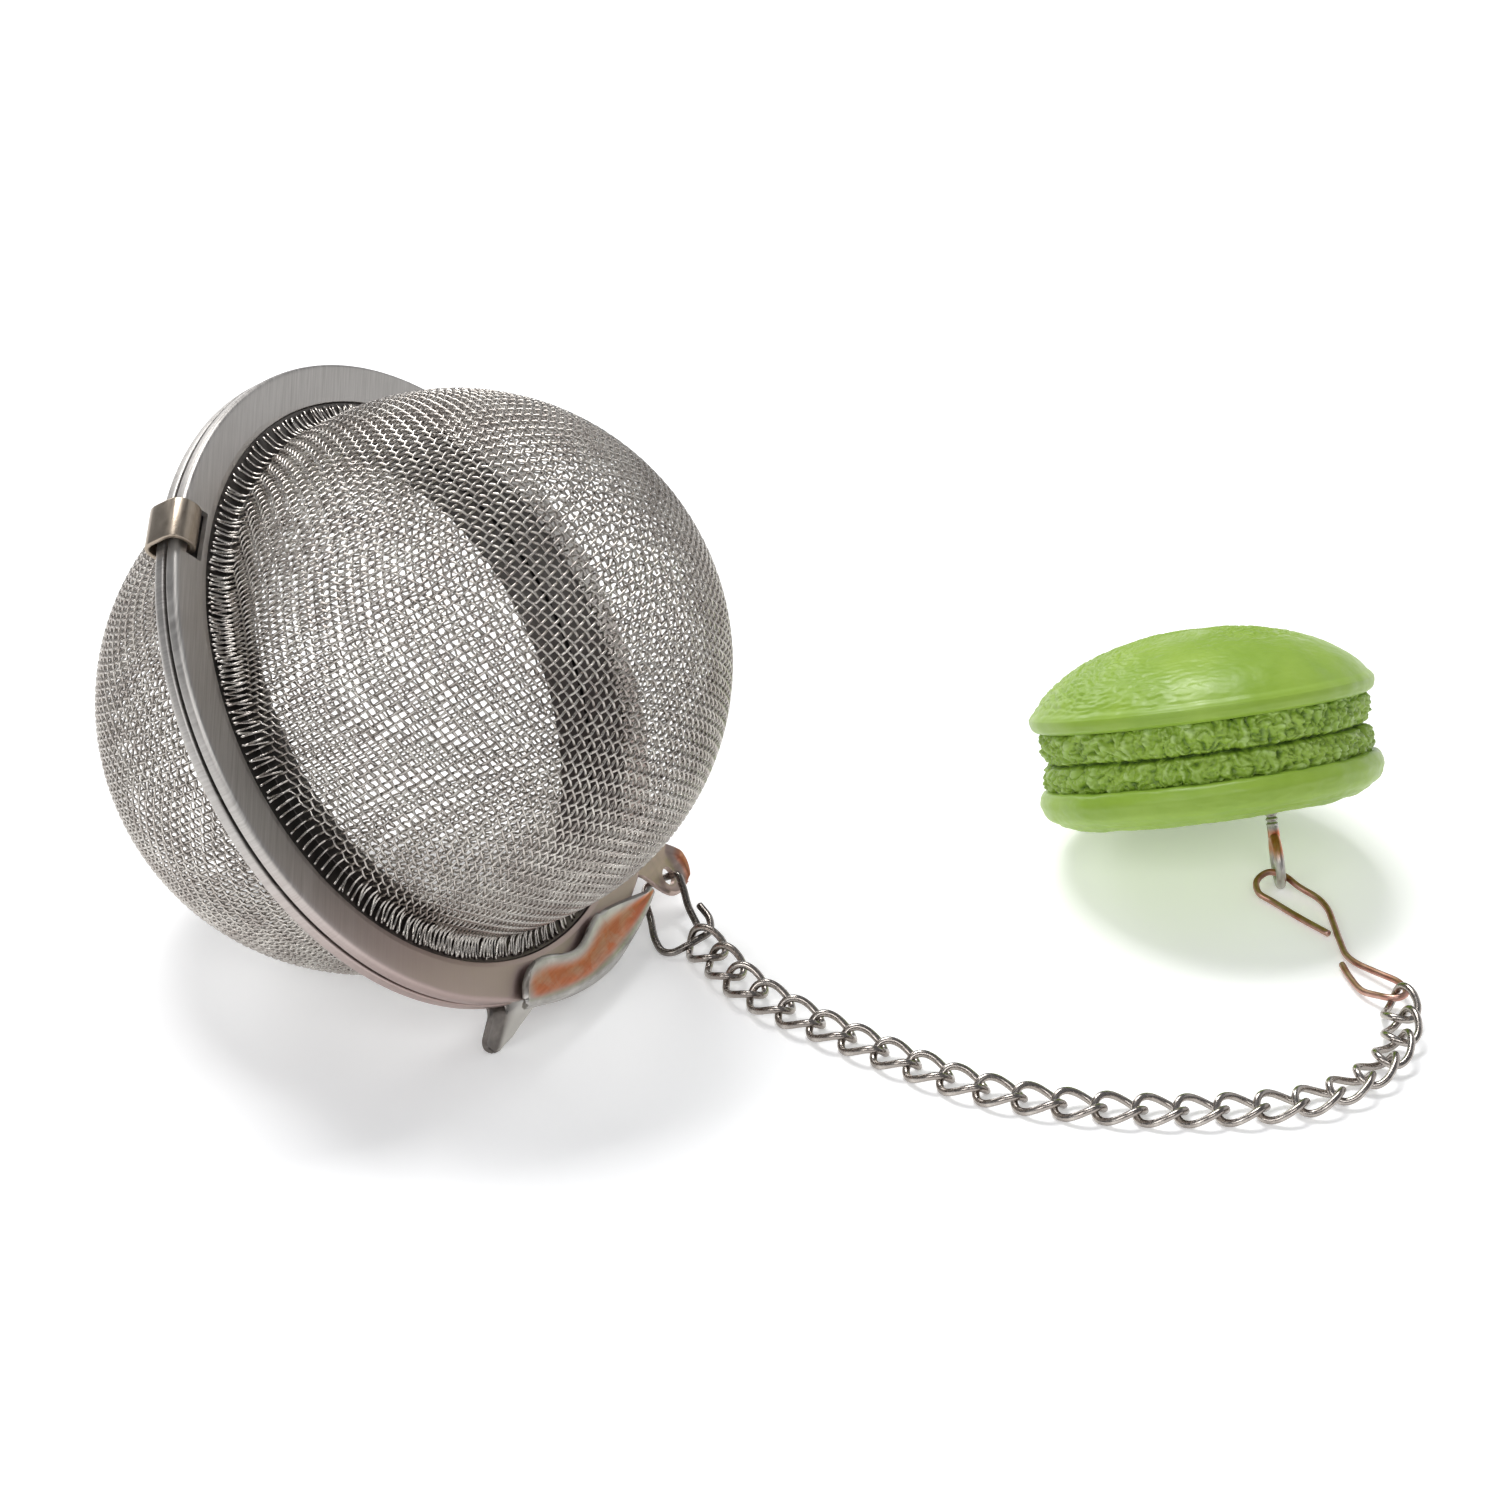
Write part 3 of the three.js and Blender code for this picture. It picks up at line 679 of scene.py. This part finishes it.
def woven_dome(half, place, body, node):
    first = piece(f"{half}_mesh_warp", *weave(False, 11), place, body, "mesh_steel", WOVEN, [node], sharp=180)
    piece(f"{half}_mesh_weft", *weave(True, 23), place, body, "mesh_steel", WOVEN, [node], sharp=180)
    return first


# ---- the rims ---------------------------------------------------------------------------------------
def rim_ring():
    outline = rounded([
        (COLLAR_RADIUS - 0.5, SEAM, 0.1),
        (COLLAR_RADIUS, SEAM, 0.1),
        (COLLAR_RADIUS, FLANGE_UNDER, 0.15),
        (RIM_RADIUS - SHEET, FLANGE_UNDER, 0.2),
        (RIM_RADIUS - SHEET, SEAM, 0.15),
        (RIM_RADIUS, SEAM, 0.2),
        (RIM_RADIUS, FLANGE_TOP, 0.5),
        (RIM_RADIUS - 1.0, FLANGE_TOP - 0.04, 0.3),
        (HEM_RADIUS + 0.45, FLANGE_TOP - 0.04, 0.3),
        (HEM_RADIUS, FLANGE_TOP - 0.1, 0.1),
        (HEM_RADIUS - 0.05, CHANNEL_FLOOR, 0.08),
        (COLLAR_RADIUS, CHANNEL_FLOOR, 0.1),
        (COLLAR_RADIUS, COLLAR_END, 0.15),
        (COLLAR_RADIUS - 0.5, COLLAR_END, 0.15),
    ])
    return lathe(outline, 288)


def rim(name, place, body, node):
    heading = HINGE_ANGLE if body == "near_half" else -HINGE_ANGLE
    slot = block(SLOT_INNER, SLOT_OUTER, -SLOT_WIDTH / 2, SLOT_WIDTH / 2, -1, 3, heading)
    ring = piece(name, *rim_ring(), place, body, "flange_steel", STEEL, [node], holes=[slot], sharp=40)
    # painted shade in the groove inside the hem
    paint(ring, "groove_painted_shade", lambda radius, angle, z: eased(HEM_RADIUS + 0.06 - radius, 0, 0.1))
    # painted reflection of the copper clasp, rising towards it
    paint(ring, "painted_light", lambda radius, angle, z: eased(radius * np.cos(np.radians(angle)), -2, 20))


def around(angle, radius, z):
    """A point of the rim's own round coordinates, the angle in degrees."""
    a = np.radians(angle)
    return np.stack([radius * np.cos(a), radius * np.sin(a), z + 0 * a], -1)


def eased(value, low, high):
    """0 below low, 1 above high, and a smooth rise between."""
    x = np.clip((value - low) / (high - low), 0, 1)
    return x * x * (3 - 2 * x)


def folded(corners, reaches, counts, steps=7):
    """Rows of a bent sheet: straight between corners, curved within reach of each inner corner."""
    rows = []
    last = corners[0]
    for k, reach in enumerate(reaches):
        before, here, after = corners[k:k + 3]
        back, on = before - here, after - here
        start = here + back / np.linalg.norm(back, axis=-1, keepdims=True) * reach
        end = here + on / np.linalg.norm(on, axis=-1, keepdims=True) * reach
        rows += [last + (start - last) * u for u in np.linspace(0, 1, counts[k], endpoint=False)]
        for u in np.linspace(0, 1, steps, endpoint=False):
            rows.append(start * (1 - u) ** 2 + here * 2 * u * (1 - u) + end * u * u)
        last = end
    rows += [last + (corners[-1] - last) * u for u in np.linspace(0, 1, counts[-1])]
    return rows


def lip_edge(t):
    """Radius of the clasp lip's inner edge: a soft wave between a round end and a pointed one."""
    wave = LIP_EDGE - 0.4 * np.cos(2 * math.pi * (t - 0.18) / 0.46)
    point = LIP_EDGE - 0.2 + 2.85 * (np.maximum(t - 0.66, 0) / 0.31) ** 1.5
    round_end = 1 - np.sqrt(1 - np.clip(1 - t / 0.12, 0, 1) ** 2)
    return np.where(t < 0.66, wave, point) + round_end * (CLASP_TOP - LIP_EDGE)


def clasp():
    """The far rim's clasp: a wall that leans in over both edges, and a dished wavy lip over the near flange."""
    t = np.linspace(0, 1, 113)
    angle = CLASP_FROM + (CLASP_TO - CLASP_FROM) * t
    foot = CLASP_SNUG + CLASP_SHEET / 2 + CLASP_FLARE * eased(t, 0.08, 0.85)
    bend = CLASP_TOP + CLASP_SHEET / 2 + CLASP_SPREAD * t
    edge = np.minimum(lip_edge(t), bend - 0.5)
    floor, roof = -FLANGE_TOP + SHEET / 2 + 0 * t, CLASP_ROOF + CLASP_SHEET / 2 + 0 * t
    foot_angle = angle + CLASP_CUTAWAY * (1 - eased(t, 0, 0.35))
    corners = [around(foot_angle, RIM_RADIUS - 0.3 + 0 * t, floor), around(foot_angle, foot, floor)]
    corners += [around(angle, bend, roof), around(angle, edge, roof)]
    rows = np.array(folded(corners, [0.4, 0.32], [3, 9, 14]))
    radius = np.hypot(rows[..., 0], rows[..., 1])
    share = np.clip((bend - radius) / np.maximum(bend - edge, 0.1), 0, 1)
    over = rows[..., 2] > CLASP_ROOF
    rows[..., 2] -= np.where(over, 0.24 * np.sin(math.pi * share) * np.clip(bend - edge - 0.4, 0, 1), 0)
    return rows


def thumb_tab():
    """A rounded tongue bent away from the near half; its clasp side curls up to meet the wall."""
    s = np.linspace(0, 4.6, 47)
    lean = math.radians(TAB_BEND) * eased(s, 0.9, 2.1)
    radius = RIM_RADIUS - 1.0 + np.concatenate([[0], np.cumsum(np.cos(lean[1:]) * np.diff(s))])
    drop = np.concatenate([[0], np.cumsum(np.sin(lean[1:]) * np.diff(s))])
    v = np.linspace(-1, 1, 27)[None, :]
    tip = np.clip((s - s[-1] + 1.3) / 1.3, 0, 1)[:, None]
    half = TAB_WIDTH / 2 * np.sqrt(1 - 0.99 * tip ** 2)
    across = v * half - 0.1 * tip
    curl = eased(v, 0.1, 1.0) * 2.4 * np.clip((3.7 - s[:, None]) / 2.8, 0, 1) ** 1.25
    rolled = 0.16 * np.abs(v) ** 4
    z = -FLANGE_TOP + SHEET / 2 - drop[:, None] + curl + rolled
    a = math.radians(TAB_ANGLE)
    x = radius[:, None] * math.cos(a) - across * math.sin(a)
    y = radius[:, None] * math.sin(a) + across * math.cos(a)
    return np.stack(np.broadcast_arrays(x, y, z), -1)


def lug():
    """The near rim's flat ear for the chain's hook, its tip curled up."""
    u = np.linspace(0, 1, 49)[:, None] ** 0.8
    v = np.linspace(-1, 1, 49)[None, :]
    root = RIM_RADIUS - 0.8
    radius = root + (LUG_REACH - root) * u
    tip = np.clip((radius - (LUG_REACH - LUG_WIDTH / 2)) / (LUG_WIDTH / 2), 0, 1)
    foot = np.clip((RIM_RADIUS + 0.9 - radius) / 1.8, 0, 1)
    half = LUG_WIDTH / 2 * np.sqrt(1 - 0.99 * tip ** 2) + 0.7 * foot ** 2
    across = v * half
    beyond = np.hypot(np.maximum(radius - EYE_RADIUS, 0), across - EYE_SHIFT) - EYE_HOLE - 0.1
    curl = 0.5 * np.clip(beyond, 0, 1.1) ** 1.7 * np.clip((radius - EYE_RADIUS + 0.9) / 1.2, 0, 1)
    z = FLANGE_TOP - SHEET / 2 + curl
    a = math.radians(LUG_ANGLE)
    x = radius * math.cos(a) - across * math.sin(a)
    y = radius * math.sin(a) + across * math.cos(a)
    return np.stack(np.broadcast_arrays(x, y, z), -1)


def paint(thing, name, rule):
    """Stores a 0 to 1 mask on the piece's points, worked out from their own millimetres."""
    count = len(thing.data.vertices)
    own = np.empty(count * 3, np.float32)
    thing.data.attributes["own"].data.foreach_get("vector", own)
    x, y, z = own.reshape(-1, 3).T
    mask = np.clip(rule(np.hypot(x, y), np.degrees(np.arctan2(y, x)), z), 0, 1)
    thing.data.attributes.new(name, "FLOAT", "POINT").data.foreach_set("value", mask.astype(np.float32))


def lip_painted_reflection(radius, angle, z):
    """Painted reflection: copper colour in the dish of the clasp's lip, none on its edges."""
    t = np.clip((angle - CLASP_FROM) / (CLASP_TO - CLASP_FROM), 0, 1)
    bend = CLASP_TOP + CLASP_SHEET / 2 + CLASP_SPREAD * t
    share = (bend - radius) / np.maximum(bend - lip_edge(t), 0.1)
    inside = eased(share, 0.02, 0.24) * eased(1 - share, 0.1, 0.42)
    return inside * eased(t, 0.0, 0.09) * eased(z, CLASP_ROOF, CLASP_ROOF + 0.2)


def tab_unshaded_edge(radius, angle, z):
    """Where the tab keeps its plain steel tone instead of painted shade: along its curled edge."""
    return eased(radius * np.sin(np.radians(angle - TAB_ANGLE)), 0.1, 0.8)


def lug_painted_reflection(radius, angle, z):
    """Painted reflection: copper colour on the ear's curled tip, and a faint one on its flat."""
    return np.maximum(0.3, eased(z, FLANGE_TOP + 0.1, FLANGE_TOP + 0.5))


def far_fittings():
    folded_clasp = piece("clasp", *thick(clasp(), CLASP_SHEET), NEAR, "far_half", "flange_steel", WARM, sharp=60)
    # painted reflection in the lip's dish
    paint(folded_clasp, "painted_light", lip_painted_reflection)
    tab = piece("thumb_tab", *thick(thumb_tab(), 0.45), NEAR, "far_half", "flange_steel", SHADED, sharp=60)
    # the tab's curled edge is spared the painted shade
    paint(tab, "painted_light", tab_unshaded_edge)


def near_fittings():
    a = math.radians(LUG_ANGLE)
    x = EYE_RADIUS * math.cos(a) - EYE_SHIFT * math.sin(a)
    y = EYE_RADIUS * math.sin(a) + EYE_SHIFT * math.cos(a)
    hole = peg(x, y, EYE_HOLE, -1, 3)
    ear = piece("chain_lug", *thick(lug(), 0.47), NEAR, "near_half", "flange_steel", WARM, holes=[hole], sharp=60)
    # painted reflection on the ear
    paint(ear, "painted_light", lug_painted_reflection)


def hinge_strap():
    """A flat band bent into a loose ring through both rims' slots."""
    outline = rounded([
        (STRAP_NEAR, -STRAP_REACH, STRAP_CORNER),
        (STRAP_FAR, -STRAP_REACH, STRAP_CORNER),
        (STRAP_FAR, STRAP_REACH, STRAP_CORNER),
        (STRAP_NEAR, STRAP_REACH, STRAP_CORNER),
    ], steps=9)
    section = rounded([
        (-STRAP_THICK / 2, -STRAP_WIDTH / 2, 0.12),
        (STRAP_THICK / 2, -STRAP_WIDTH / 2, 0.12),
        (STRAP_THICK / 2, STRAP_WIDTH / 2, 0.12),
        (-STRAP_THICK / 2, STRAP_WIDTH / 2, 0.12),
    ], steps=4)
    step = np.roll(outline, -1, 0) - np.roll(outline, 1, 0)
    step /= np.linalg.norm(step, axis=1, keepdims=True)
    outward = np.stack([step[:, 1], -step[:, 0]], -1)
    r = outline[:, None, 0] + outward[:, None, 0] * section[None, :, 0]
    z = outline[:, None, 1] + outward[:, None, 1] * section[None, :, 0]
    across = np.broadcast_to(section[None, :, 1], r.shape)
    a = math.radians(HINGE_ANGLE)
    points = np.stack([r * math.cos(a) - across * math.sin(a), r * math.sin(a) + across * math.cos(a), z], -1)
    faces = grid_faces(len(outline), len(section), rows_close=True, columns_close=True)
    piece("strap", points.reshape(-1, 3), faces, NEAR, "strap", "strap_steel", BRONZE, ["hinge_strap"])


# ---- chain and hooks --------------------------------------------------------------------------------
def link_wire():
    """A wire oval whose two ends are turned out of its plane."""
    a, b = (LINK_LENGTH - WIRE) / 2, (LINK_WIDTH - WIRE) / 2
    t = np.linspace(0, 2 * math.pi, 64, endpoint=False)
    x = a * np.sign(np.cos(t)) * np.abs(np.cos(t)) ** 0.85
    y = b * np.sign(np.sin(t)) * np.abs(np.sin(t)) ** 0.85
    turn = math.radians(LINK_TWIST) * x / a
    path = np.stack([x, y * np.cos(turn), y * np.sin(turn)], -1)
    return wire(path, path, WIRE / 2, 14, closed=True)


def link_roll(i):
    start = max(0.0, 1 - i / FIRST_ROLLED)
    end = max(0.0, 1 - (LINKS - 1 - i) / LAST_ROLLED)
    return math.radians(END_ROLL) * (start - end)


def chain():
    meets = [joint_point(f"chain_joint_{i + 1:02d}") for i in range(LINKS)]
    meets.append(joint_point("charm_hook_joint"))
    points, faces = link_wire()
    for i in range(LINKS):
        along = (meets[i + 1] - meets[i]).normalized()
        across = Vector((0, 0, 1)).cross(along).normalized()
        place = rigid(along, across, along.cross(across), (meets[i] + meets[i + 1]) / 2)
        place = place @ Matrix.Rotation(link_roll(i), 4, "X")
        name = f"{i + 1:02d}"
        piece(f"link_{name}", points, faces, place, f"link_{name}", "chain_steel", CHAIN, [f"chain_link_{name}"])


def bent_hook(name, points, material, body, slot, play=0.0):
    path = smooth_path(points, 10)
    points, faces = wire(path, carried_normals(path), WIRE / 2 - play, 16, domed=0.35)
    piece(f"{name}_wire", points, faces, AS_DRAWN, body, slot, material, [name])


# ---- the charm --------------------------------------------------------------------------------------
def revolve(profile, segments, relief):
    """A closed shell turned from a profile of (radius, height), its skin moved outward by relief.

    relief takes angle, run along the profile, radius and height, and gives the move and a 0 to 1 depth, which the
    resin's colour turns into painted shade where low and painted highlight where high."""
    step = np.gradient(profile, axis=0)
    step /= np.linalg.norm(step, axis=1, keepdims=True) + 1e-9
    outward = np.stack([step[:, 1], -step[:, 0]], -1)
    run = np.concatenate([[0], np.cumsum(np.linalg.norm(np.diff(profile, axis=0), axis=1))])
    points, depth = [(0.0, 0.0, profile[0, 1])], [0.5]
    for (r, z), (nr, nz), s in zip(profile[1:-1], outward[1:-1], run[1:-1]):
        for k in range(segments):
            a = 2 * math.pi * k / segments
            move, shade = relief(a, s, r, z)
            points.append(((r + nr * move) * math.cos(a), (r + nr * move) * math.sin(a), z + nz * move))
            depth.append(shade)
    points.append((0.0, 0.0, profile[-1, 1]))
    depth.append(0.5)
    rings = len(profile) - 2
    faces = [tuple(i + 1 for i in face) for face in grid_faces(rings, segments, columns_close=True)]
    faces = [face[::-1] for face in faces]
    last = len(points) - 1
    top = last - segments
    faces += [(0, 1 + (k + 1) % segments, 1 + k) for k in range(segments)]
    faces += [(last, top + k, top + (k + 1) % segments) for k in range(segments)]
    return np.array(points), faces, depth


def evenly(points, spacing):
    """The polyline with a point every spacing or so."""
    run = np.concatenate([[0], np.cumsum(np.linalg.norm(np.diff(points, axis=0), axis=1))])
    count = max(8, int(run[-1] / spacing))
    spots = np.linspace(0, run[-1], count)
    return np.stack([np.interp(spots, run, points[:, k]) for k in range(2)], -1)


def creases(a, s, scale, seed):
    """Short wandering creases that run mostly around the shell: 0 in a crease, 1 between them."""
    u = Vector((math.cos(a) * 7.0 / scale, math.sin(a) * 7.0 / scale, s / (0.55 * scale) + seed))
    u += 0.55 * noise.noise_vector(u * 0.6)
    return min(1.0, abs(noise.noise(u)) * 3.2)


def top_shell():
    R = CHARM_RADIUS
    bead, level = 0.9, 9.05
    u = np.linspace(-math.pi / 2, 0, 12)[:-1]
    under = np.stack([R - bead + bead * np.cos(u), level + bead * np.sin(u)], -1)
    r = R * np.sin(np.linspace(math.pi / 2, 0, 90))
    rim = level + np.sqrt(np.maximum(bead ** 2 - np.maximum(r - R + bead, 0) ** 2, 0))
    lens = level + 0.3 + (CHARM_THICK - level - 0.3) * (1 - np.minimum(r / (R - 0.3), 1) ** 2.2) ** 0.68
    dome = np.stack([r, np.maximum(np.where(r > R - bead, rim, 0), lens)], -1)
    dome[0, 1] = level
    base = evenly(np.array([(0, level - bead), under[0]]), 0.9)[:-1]
    profile = np.concatenate([base, evenly(np.concatenate([under, dome]), 0.12)])

    def relief(a, s, r, z):
        if z < level - 0.5 or r < 0.3:
            return 0.0, 0.5
        calm = noise.noise(Vector((math.cos(a) * 1.3, math.sin(a) * 1.3, r * 0.12 + 4)))
        facing = max(0, math.cos(a - math.radians(-60)))
        strong = min(1.0, max(0.1, 0.8 + 0.6 * calm - 0.9 * facing ** 0.7 * min(1.0, 1.3 * r / R)))
        strong *= min(1.0, max(0.0, (z - level - 0.35) / 1.1)) * min(1.0, r / 4.5)
        skin = 0.62 * creases(a, s, 1.0, 3) + 0.38 * creases(a, s, 0.5, 9)
        dents = noise.noise(Vector((r * math.cos(a) * 0.5, r * math.sin(a) * 0.5, 7)))
        # the second value sets painted shade in the creases and painted highlight on the ridges
        return strong * 0.32 * (skin - 0.9) + 0.08 * dents - 0.05, 0.5 + 0.6 * strong * (skin - 0.5)

    return revolve(profile, 560, relief)


def bottom_shell():
    R = CHARM_RADIUS
    profile = rounded([
        (0, 0.0, 0), (R * 0.82, 0.0, 1.4), (R * 0.975, 1.1, 1.1), (R, 2.4, 0.9), (R * 0.975, 3.35, 0.6),
        (R * 0.89, 3.5, 0.3), (0, 3.45, 0),
    ], steps=8)
    profile = evenly(profile, 0.16)

    def relief(a, s, r, z):
        if r > 0.9 * R or z < 0.4:
            low = noise.noise(Vector((r * math.cos(a) * 0.45, r * math.sin(a) * 0.45, z * 0.45 + 5)))
            skin = creases(a, s, 0.8, 21)
            return 0.12 * low - 0.06 + 0.04 * (skin - 0.8), 0.5 + 0.2 * (skin - 0.6)
        return 0.0, 0.4

    return revolve(profile, 400, relief)


def feet():
    """The ruffled feet of both shells, with the filling's line pressed between them."""
    R = CHARM_RADIUS
    groove, low, high = 5.6, 3.3, 8.4
    heights = np.linspace(low, high, 74)
    profile = np.concatenate([[(0, low)], np.column_stack([np.full(74, R * 0.92), heights]), [(0, high)]])

    def relief(a, s, r, z):
        if r < 1:
            return 0.0, 0.3
        wander = groove + 0.16 * noise.noise(Vector((math.cos(a) * 2.2, math.sin(a) * 2.2, 1)))
        gap = abs(z - wander)
        bulge = min(1.0, gap / 0.26) ** 0.5
        foot = (z - low) / (wander - low) if z < wander else (high - z) / (high - wander)
        round_foot = 0.42 * math.sin(math.pi * min(1.0, max(0.0, foot)) ** 0.8)
        at = Vector((r * math.cos(a), r * math.sin(a), z))
        lean = z * 0.035 * noise.noise(Vector((math.cos(a) * 3, math.sin(a) * 3, 2)))
        turn = a + lean
        band = 4 if z < wander else 9
        ruffle = noise.noise(Vector((math.cos(turn) * 22, math.sin(turn) * 22, z * 0.7 + band)))
        bend = noise.noise_vector(at * 0.9) * 1.1
        fold = noise.noise(Vector((math.cos(turn) * 15, math.sin(turn) * 15, z * 1.1 - band)) + bend)
        fold = 1 - min(1.0, 3.6 * abs(fold))
        crumb = noise.fractal(at * 1.9, 0.8, 2.1, 3)
        move = round_foot + 0.38 * ruffle + 0.24 * crumb - 0.26 * fold - 0.8 * (1 - bulge) - 0.05
        # painted shade: darker in the folds and in the groove between the feet
        shade = 0.68 + 0.38 * ruffle + 0.24 * crumb - 0.40 * fold - 0.8 * (1 - bulge)
        return min(move, R * 0.05), max(0.0, min(1.0, shade))

    return revolve(profile, 760, relief)


def shell_piece(name, built, replaces=()):
    points, faces, depth = built
    thing = piece(name, points - (SCREW_SHIFT, 0, 0), faces, CHARM, "charm", "charm_resin", RESIN, replaces, sharp=180)
    # the depth, which drives the resin's painted shade and painted highlight
    relief = thing.data.attributes.new("relief", "FLOAT", "POINT")
    relief.data.foreach_set("value", depth)


def eye_screw():
    angle = np.linspace(0, 2 * math.pi, 72, endpoint=False)
    ring = np.stack([0 * angle, RING_RADIUS * np.cos(angle), RING_RADIUS * np.sin(angle) - RING_DROP], -1)
    loop = wire(ring, ring + (0, 0, RING_DROP), RING_WIRE - RING_PLAY, 18, closed=True)
    top, bottom = SHANK_DEPTH - 0.6, -RING_DROP + RING_RADIUS
    heights = np.linspace(bottom, top, 150)
    threads = SHANK_RADIUS - 0.05 + 0.07 * np.cos(2 * math.pi * heights / 0.42)
    neck = np.clip((-1.55 - heights) / 0.35, 0, 1)
    radius = threads * (1 - neck) + 0.48 * neck
    path = np.stack([0 * heights, 0 * heights, heights], -1)
    shank = wire(path, np.tile((1.0, 0, 0), (len(path), 1)), radius, 20)
    points, faces = joined(loop, shank)
    screw = piece("screw_eye", points, faces, CHARM, "charm", "chain_steel", WARM, ["eye_screw"])
    # painted reflection: copper on the ring's upper half and the shank's foot
    paint(screw, "painted_light", lambda radius, angle, z: eased(z, -RING_DROP, -RING_DROP + 1.2) * eased(-z, 1.9, 2.4))


# ---- build it ---------------------------------------------------------------------------------------
woven_dome("near", NEAR, "near_half", "near_mesh_cup")
woven_dome("far", FAR, "far_half", "far_mesh_cup")
rim("near_rim", NEAR, "near_half", "near_rim_with_lug")
rim("far_rim", FAR, "far_half", "far_rim_with_clasp")
far_fittings()
near_fittings()
hinge_strap()
chain()
bent_hook("ball_hook", BALL_HOOK_PATH, DARK_WIRE, "ball_hook", "chain_steel")
bent_hook("charm_hook", CHARM_HOOK_PATH, COPPERY, "charm_hook", "hook_wire", HOOK_PLAY)
shell_piece("macaron_top_shell", top_shell(), ["macaron_charm"])
shell_piece("macaron_bottom_shell", bottom_shell(), ["macaron_charm"])
shell_piece("macaron_feet", feet(), ["macaron_charm"])
eye_screw()


# ---- stage, camera and light ------------------------------------------------------------------------
def pale_floor():
    mesh = bpy.data.meshes.new("floor")
    mesh.from_pydata([(-3, -3, 0), (3, -3, 0), (3, 3, 0), (-3, 3, 0)], [], [(0, 1, 2, 3)])
    floor = bpy.data.objects.new("floor", mesh)
    bpy.context.scene.collection.objects.link(floor)
    s = Shader("pale_floor")
    s.set(Base_Color=(0.93, 0.93, 0.93, 1), Roughness=0.9)
    # the floor also glows a little, as painted light, which keeps the shadows on it faint
    s.set(Emission_Color=(1, 1, 1, 1), Emission_Strength=0.28)
    mesh.materials.append(s.material)


def softbox(name, where, aim, size, power, colour=(1, 1, 1)):
    light = bpy.data.lights.new(name, "AREA")
    light.shape = "RECTANGLE"
    light.size, light.size_y = size
    light.energy = power
    light.color = colour
    lamp = bpy.data.objects.new(name, light)
    lamp.location = where
    lamp.rotation_euler = (Vector(where) - Vector(aim)).to_track_quat("Z", "Y").to_euler()
    bpy.context.scene.collection.objects.link(lamp)


def camera():
    data = bpy.data.cameras.new("camera")
    data.lens = CAMERA_LENS
    data.sensor_width = 36.0
    lens = bpy.data.objects.new("camera", data)
    e = math.radians(CAMERA_ELEVATION)
    lens.location = CAMERA_AIM + Vector((0, -math.cos(e), math.sin(e))) * CAMERA_DISTANCE
    lens.rotation_euler = (math.pi / 2 - e, 0, 0)
    bpy.context.scene.collection.objects.link(lens)
    bpy.context.scene.camera = lens


def daylight():
    world = bpy.data.worlds.new("studio")
    bpy.context.scene.world = world
    world.use_nodes = True
    world.node_tree.nodes["Background"].inputs["Color"].default_value = (0.9, 0.93, 1.0, 1)
    world.node_tree.nodes["Background"].inputs["Strength"].default_value = 0.22


pale_floor()
softbox("top", (-0.15, 0.3, 0.8), (0, 0, 0), (0.45, 0.3), 6.0)
softbox("left", (-0.5, -0.65, 0.5), (0, 0, 0.02), (0.35, 0.4), 1.9)
softbox("back", (-0.45, 0.65, 0.32), (0, 0, 0.02), (0.3, 0.2), 1.3)
softbox("right", (0.8, 0.45, 0.32), (0, 0, 0.02), (1.1, 0.7), 1.5)
softbox("front", (0.1, -0.8, 0.7), (0, 0, 0), (0.5, 0.25), 1.9)
daylight()
camera()
bpy.context.scene.view_settings.view_transform = "Standard"
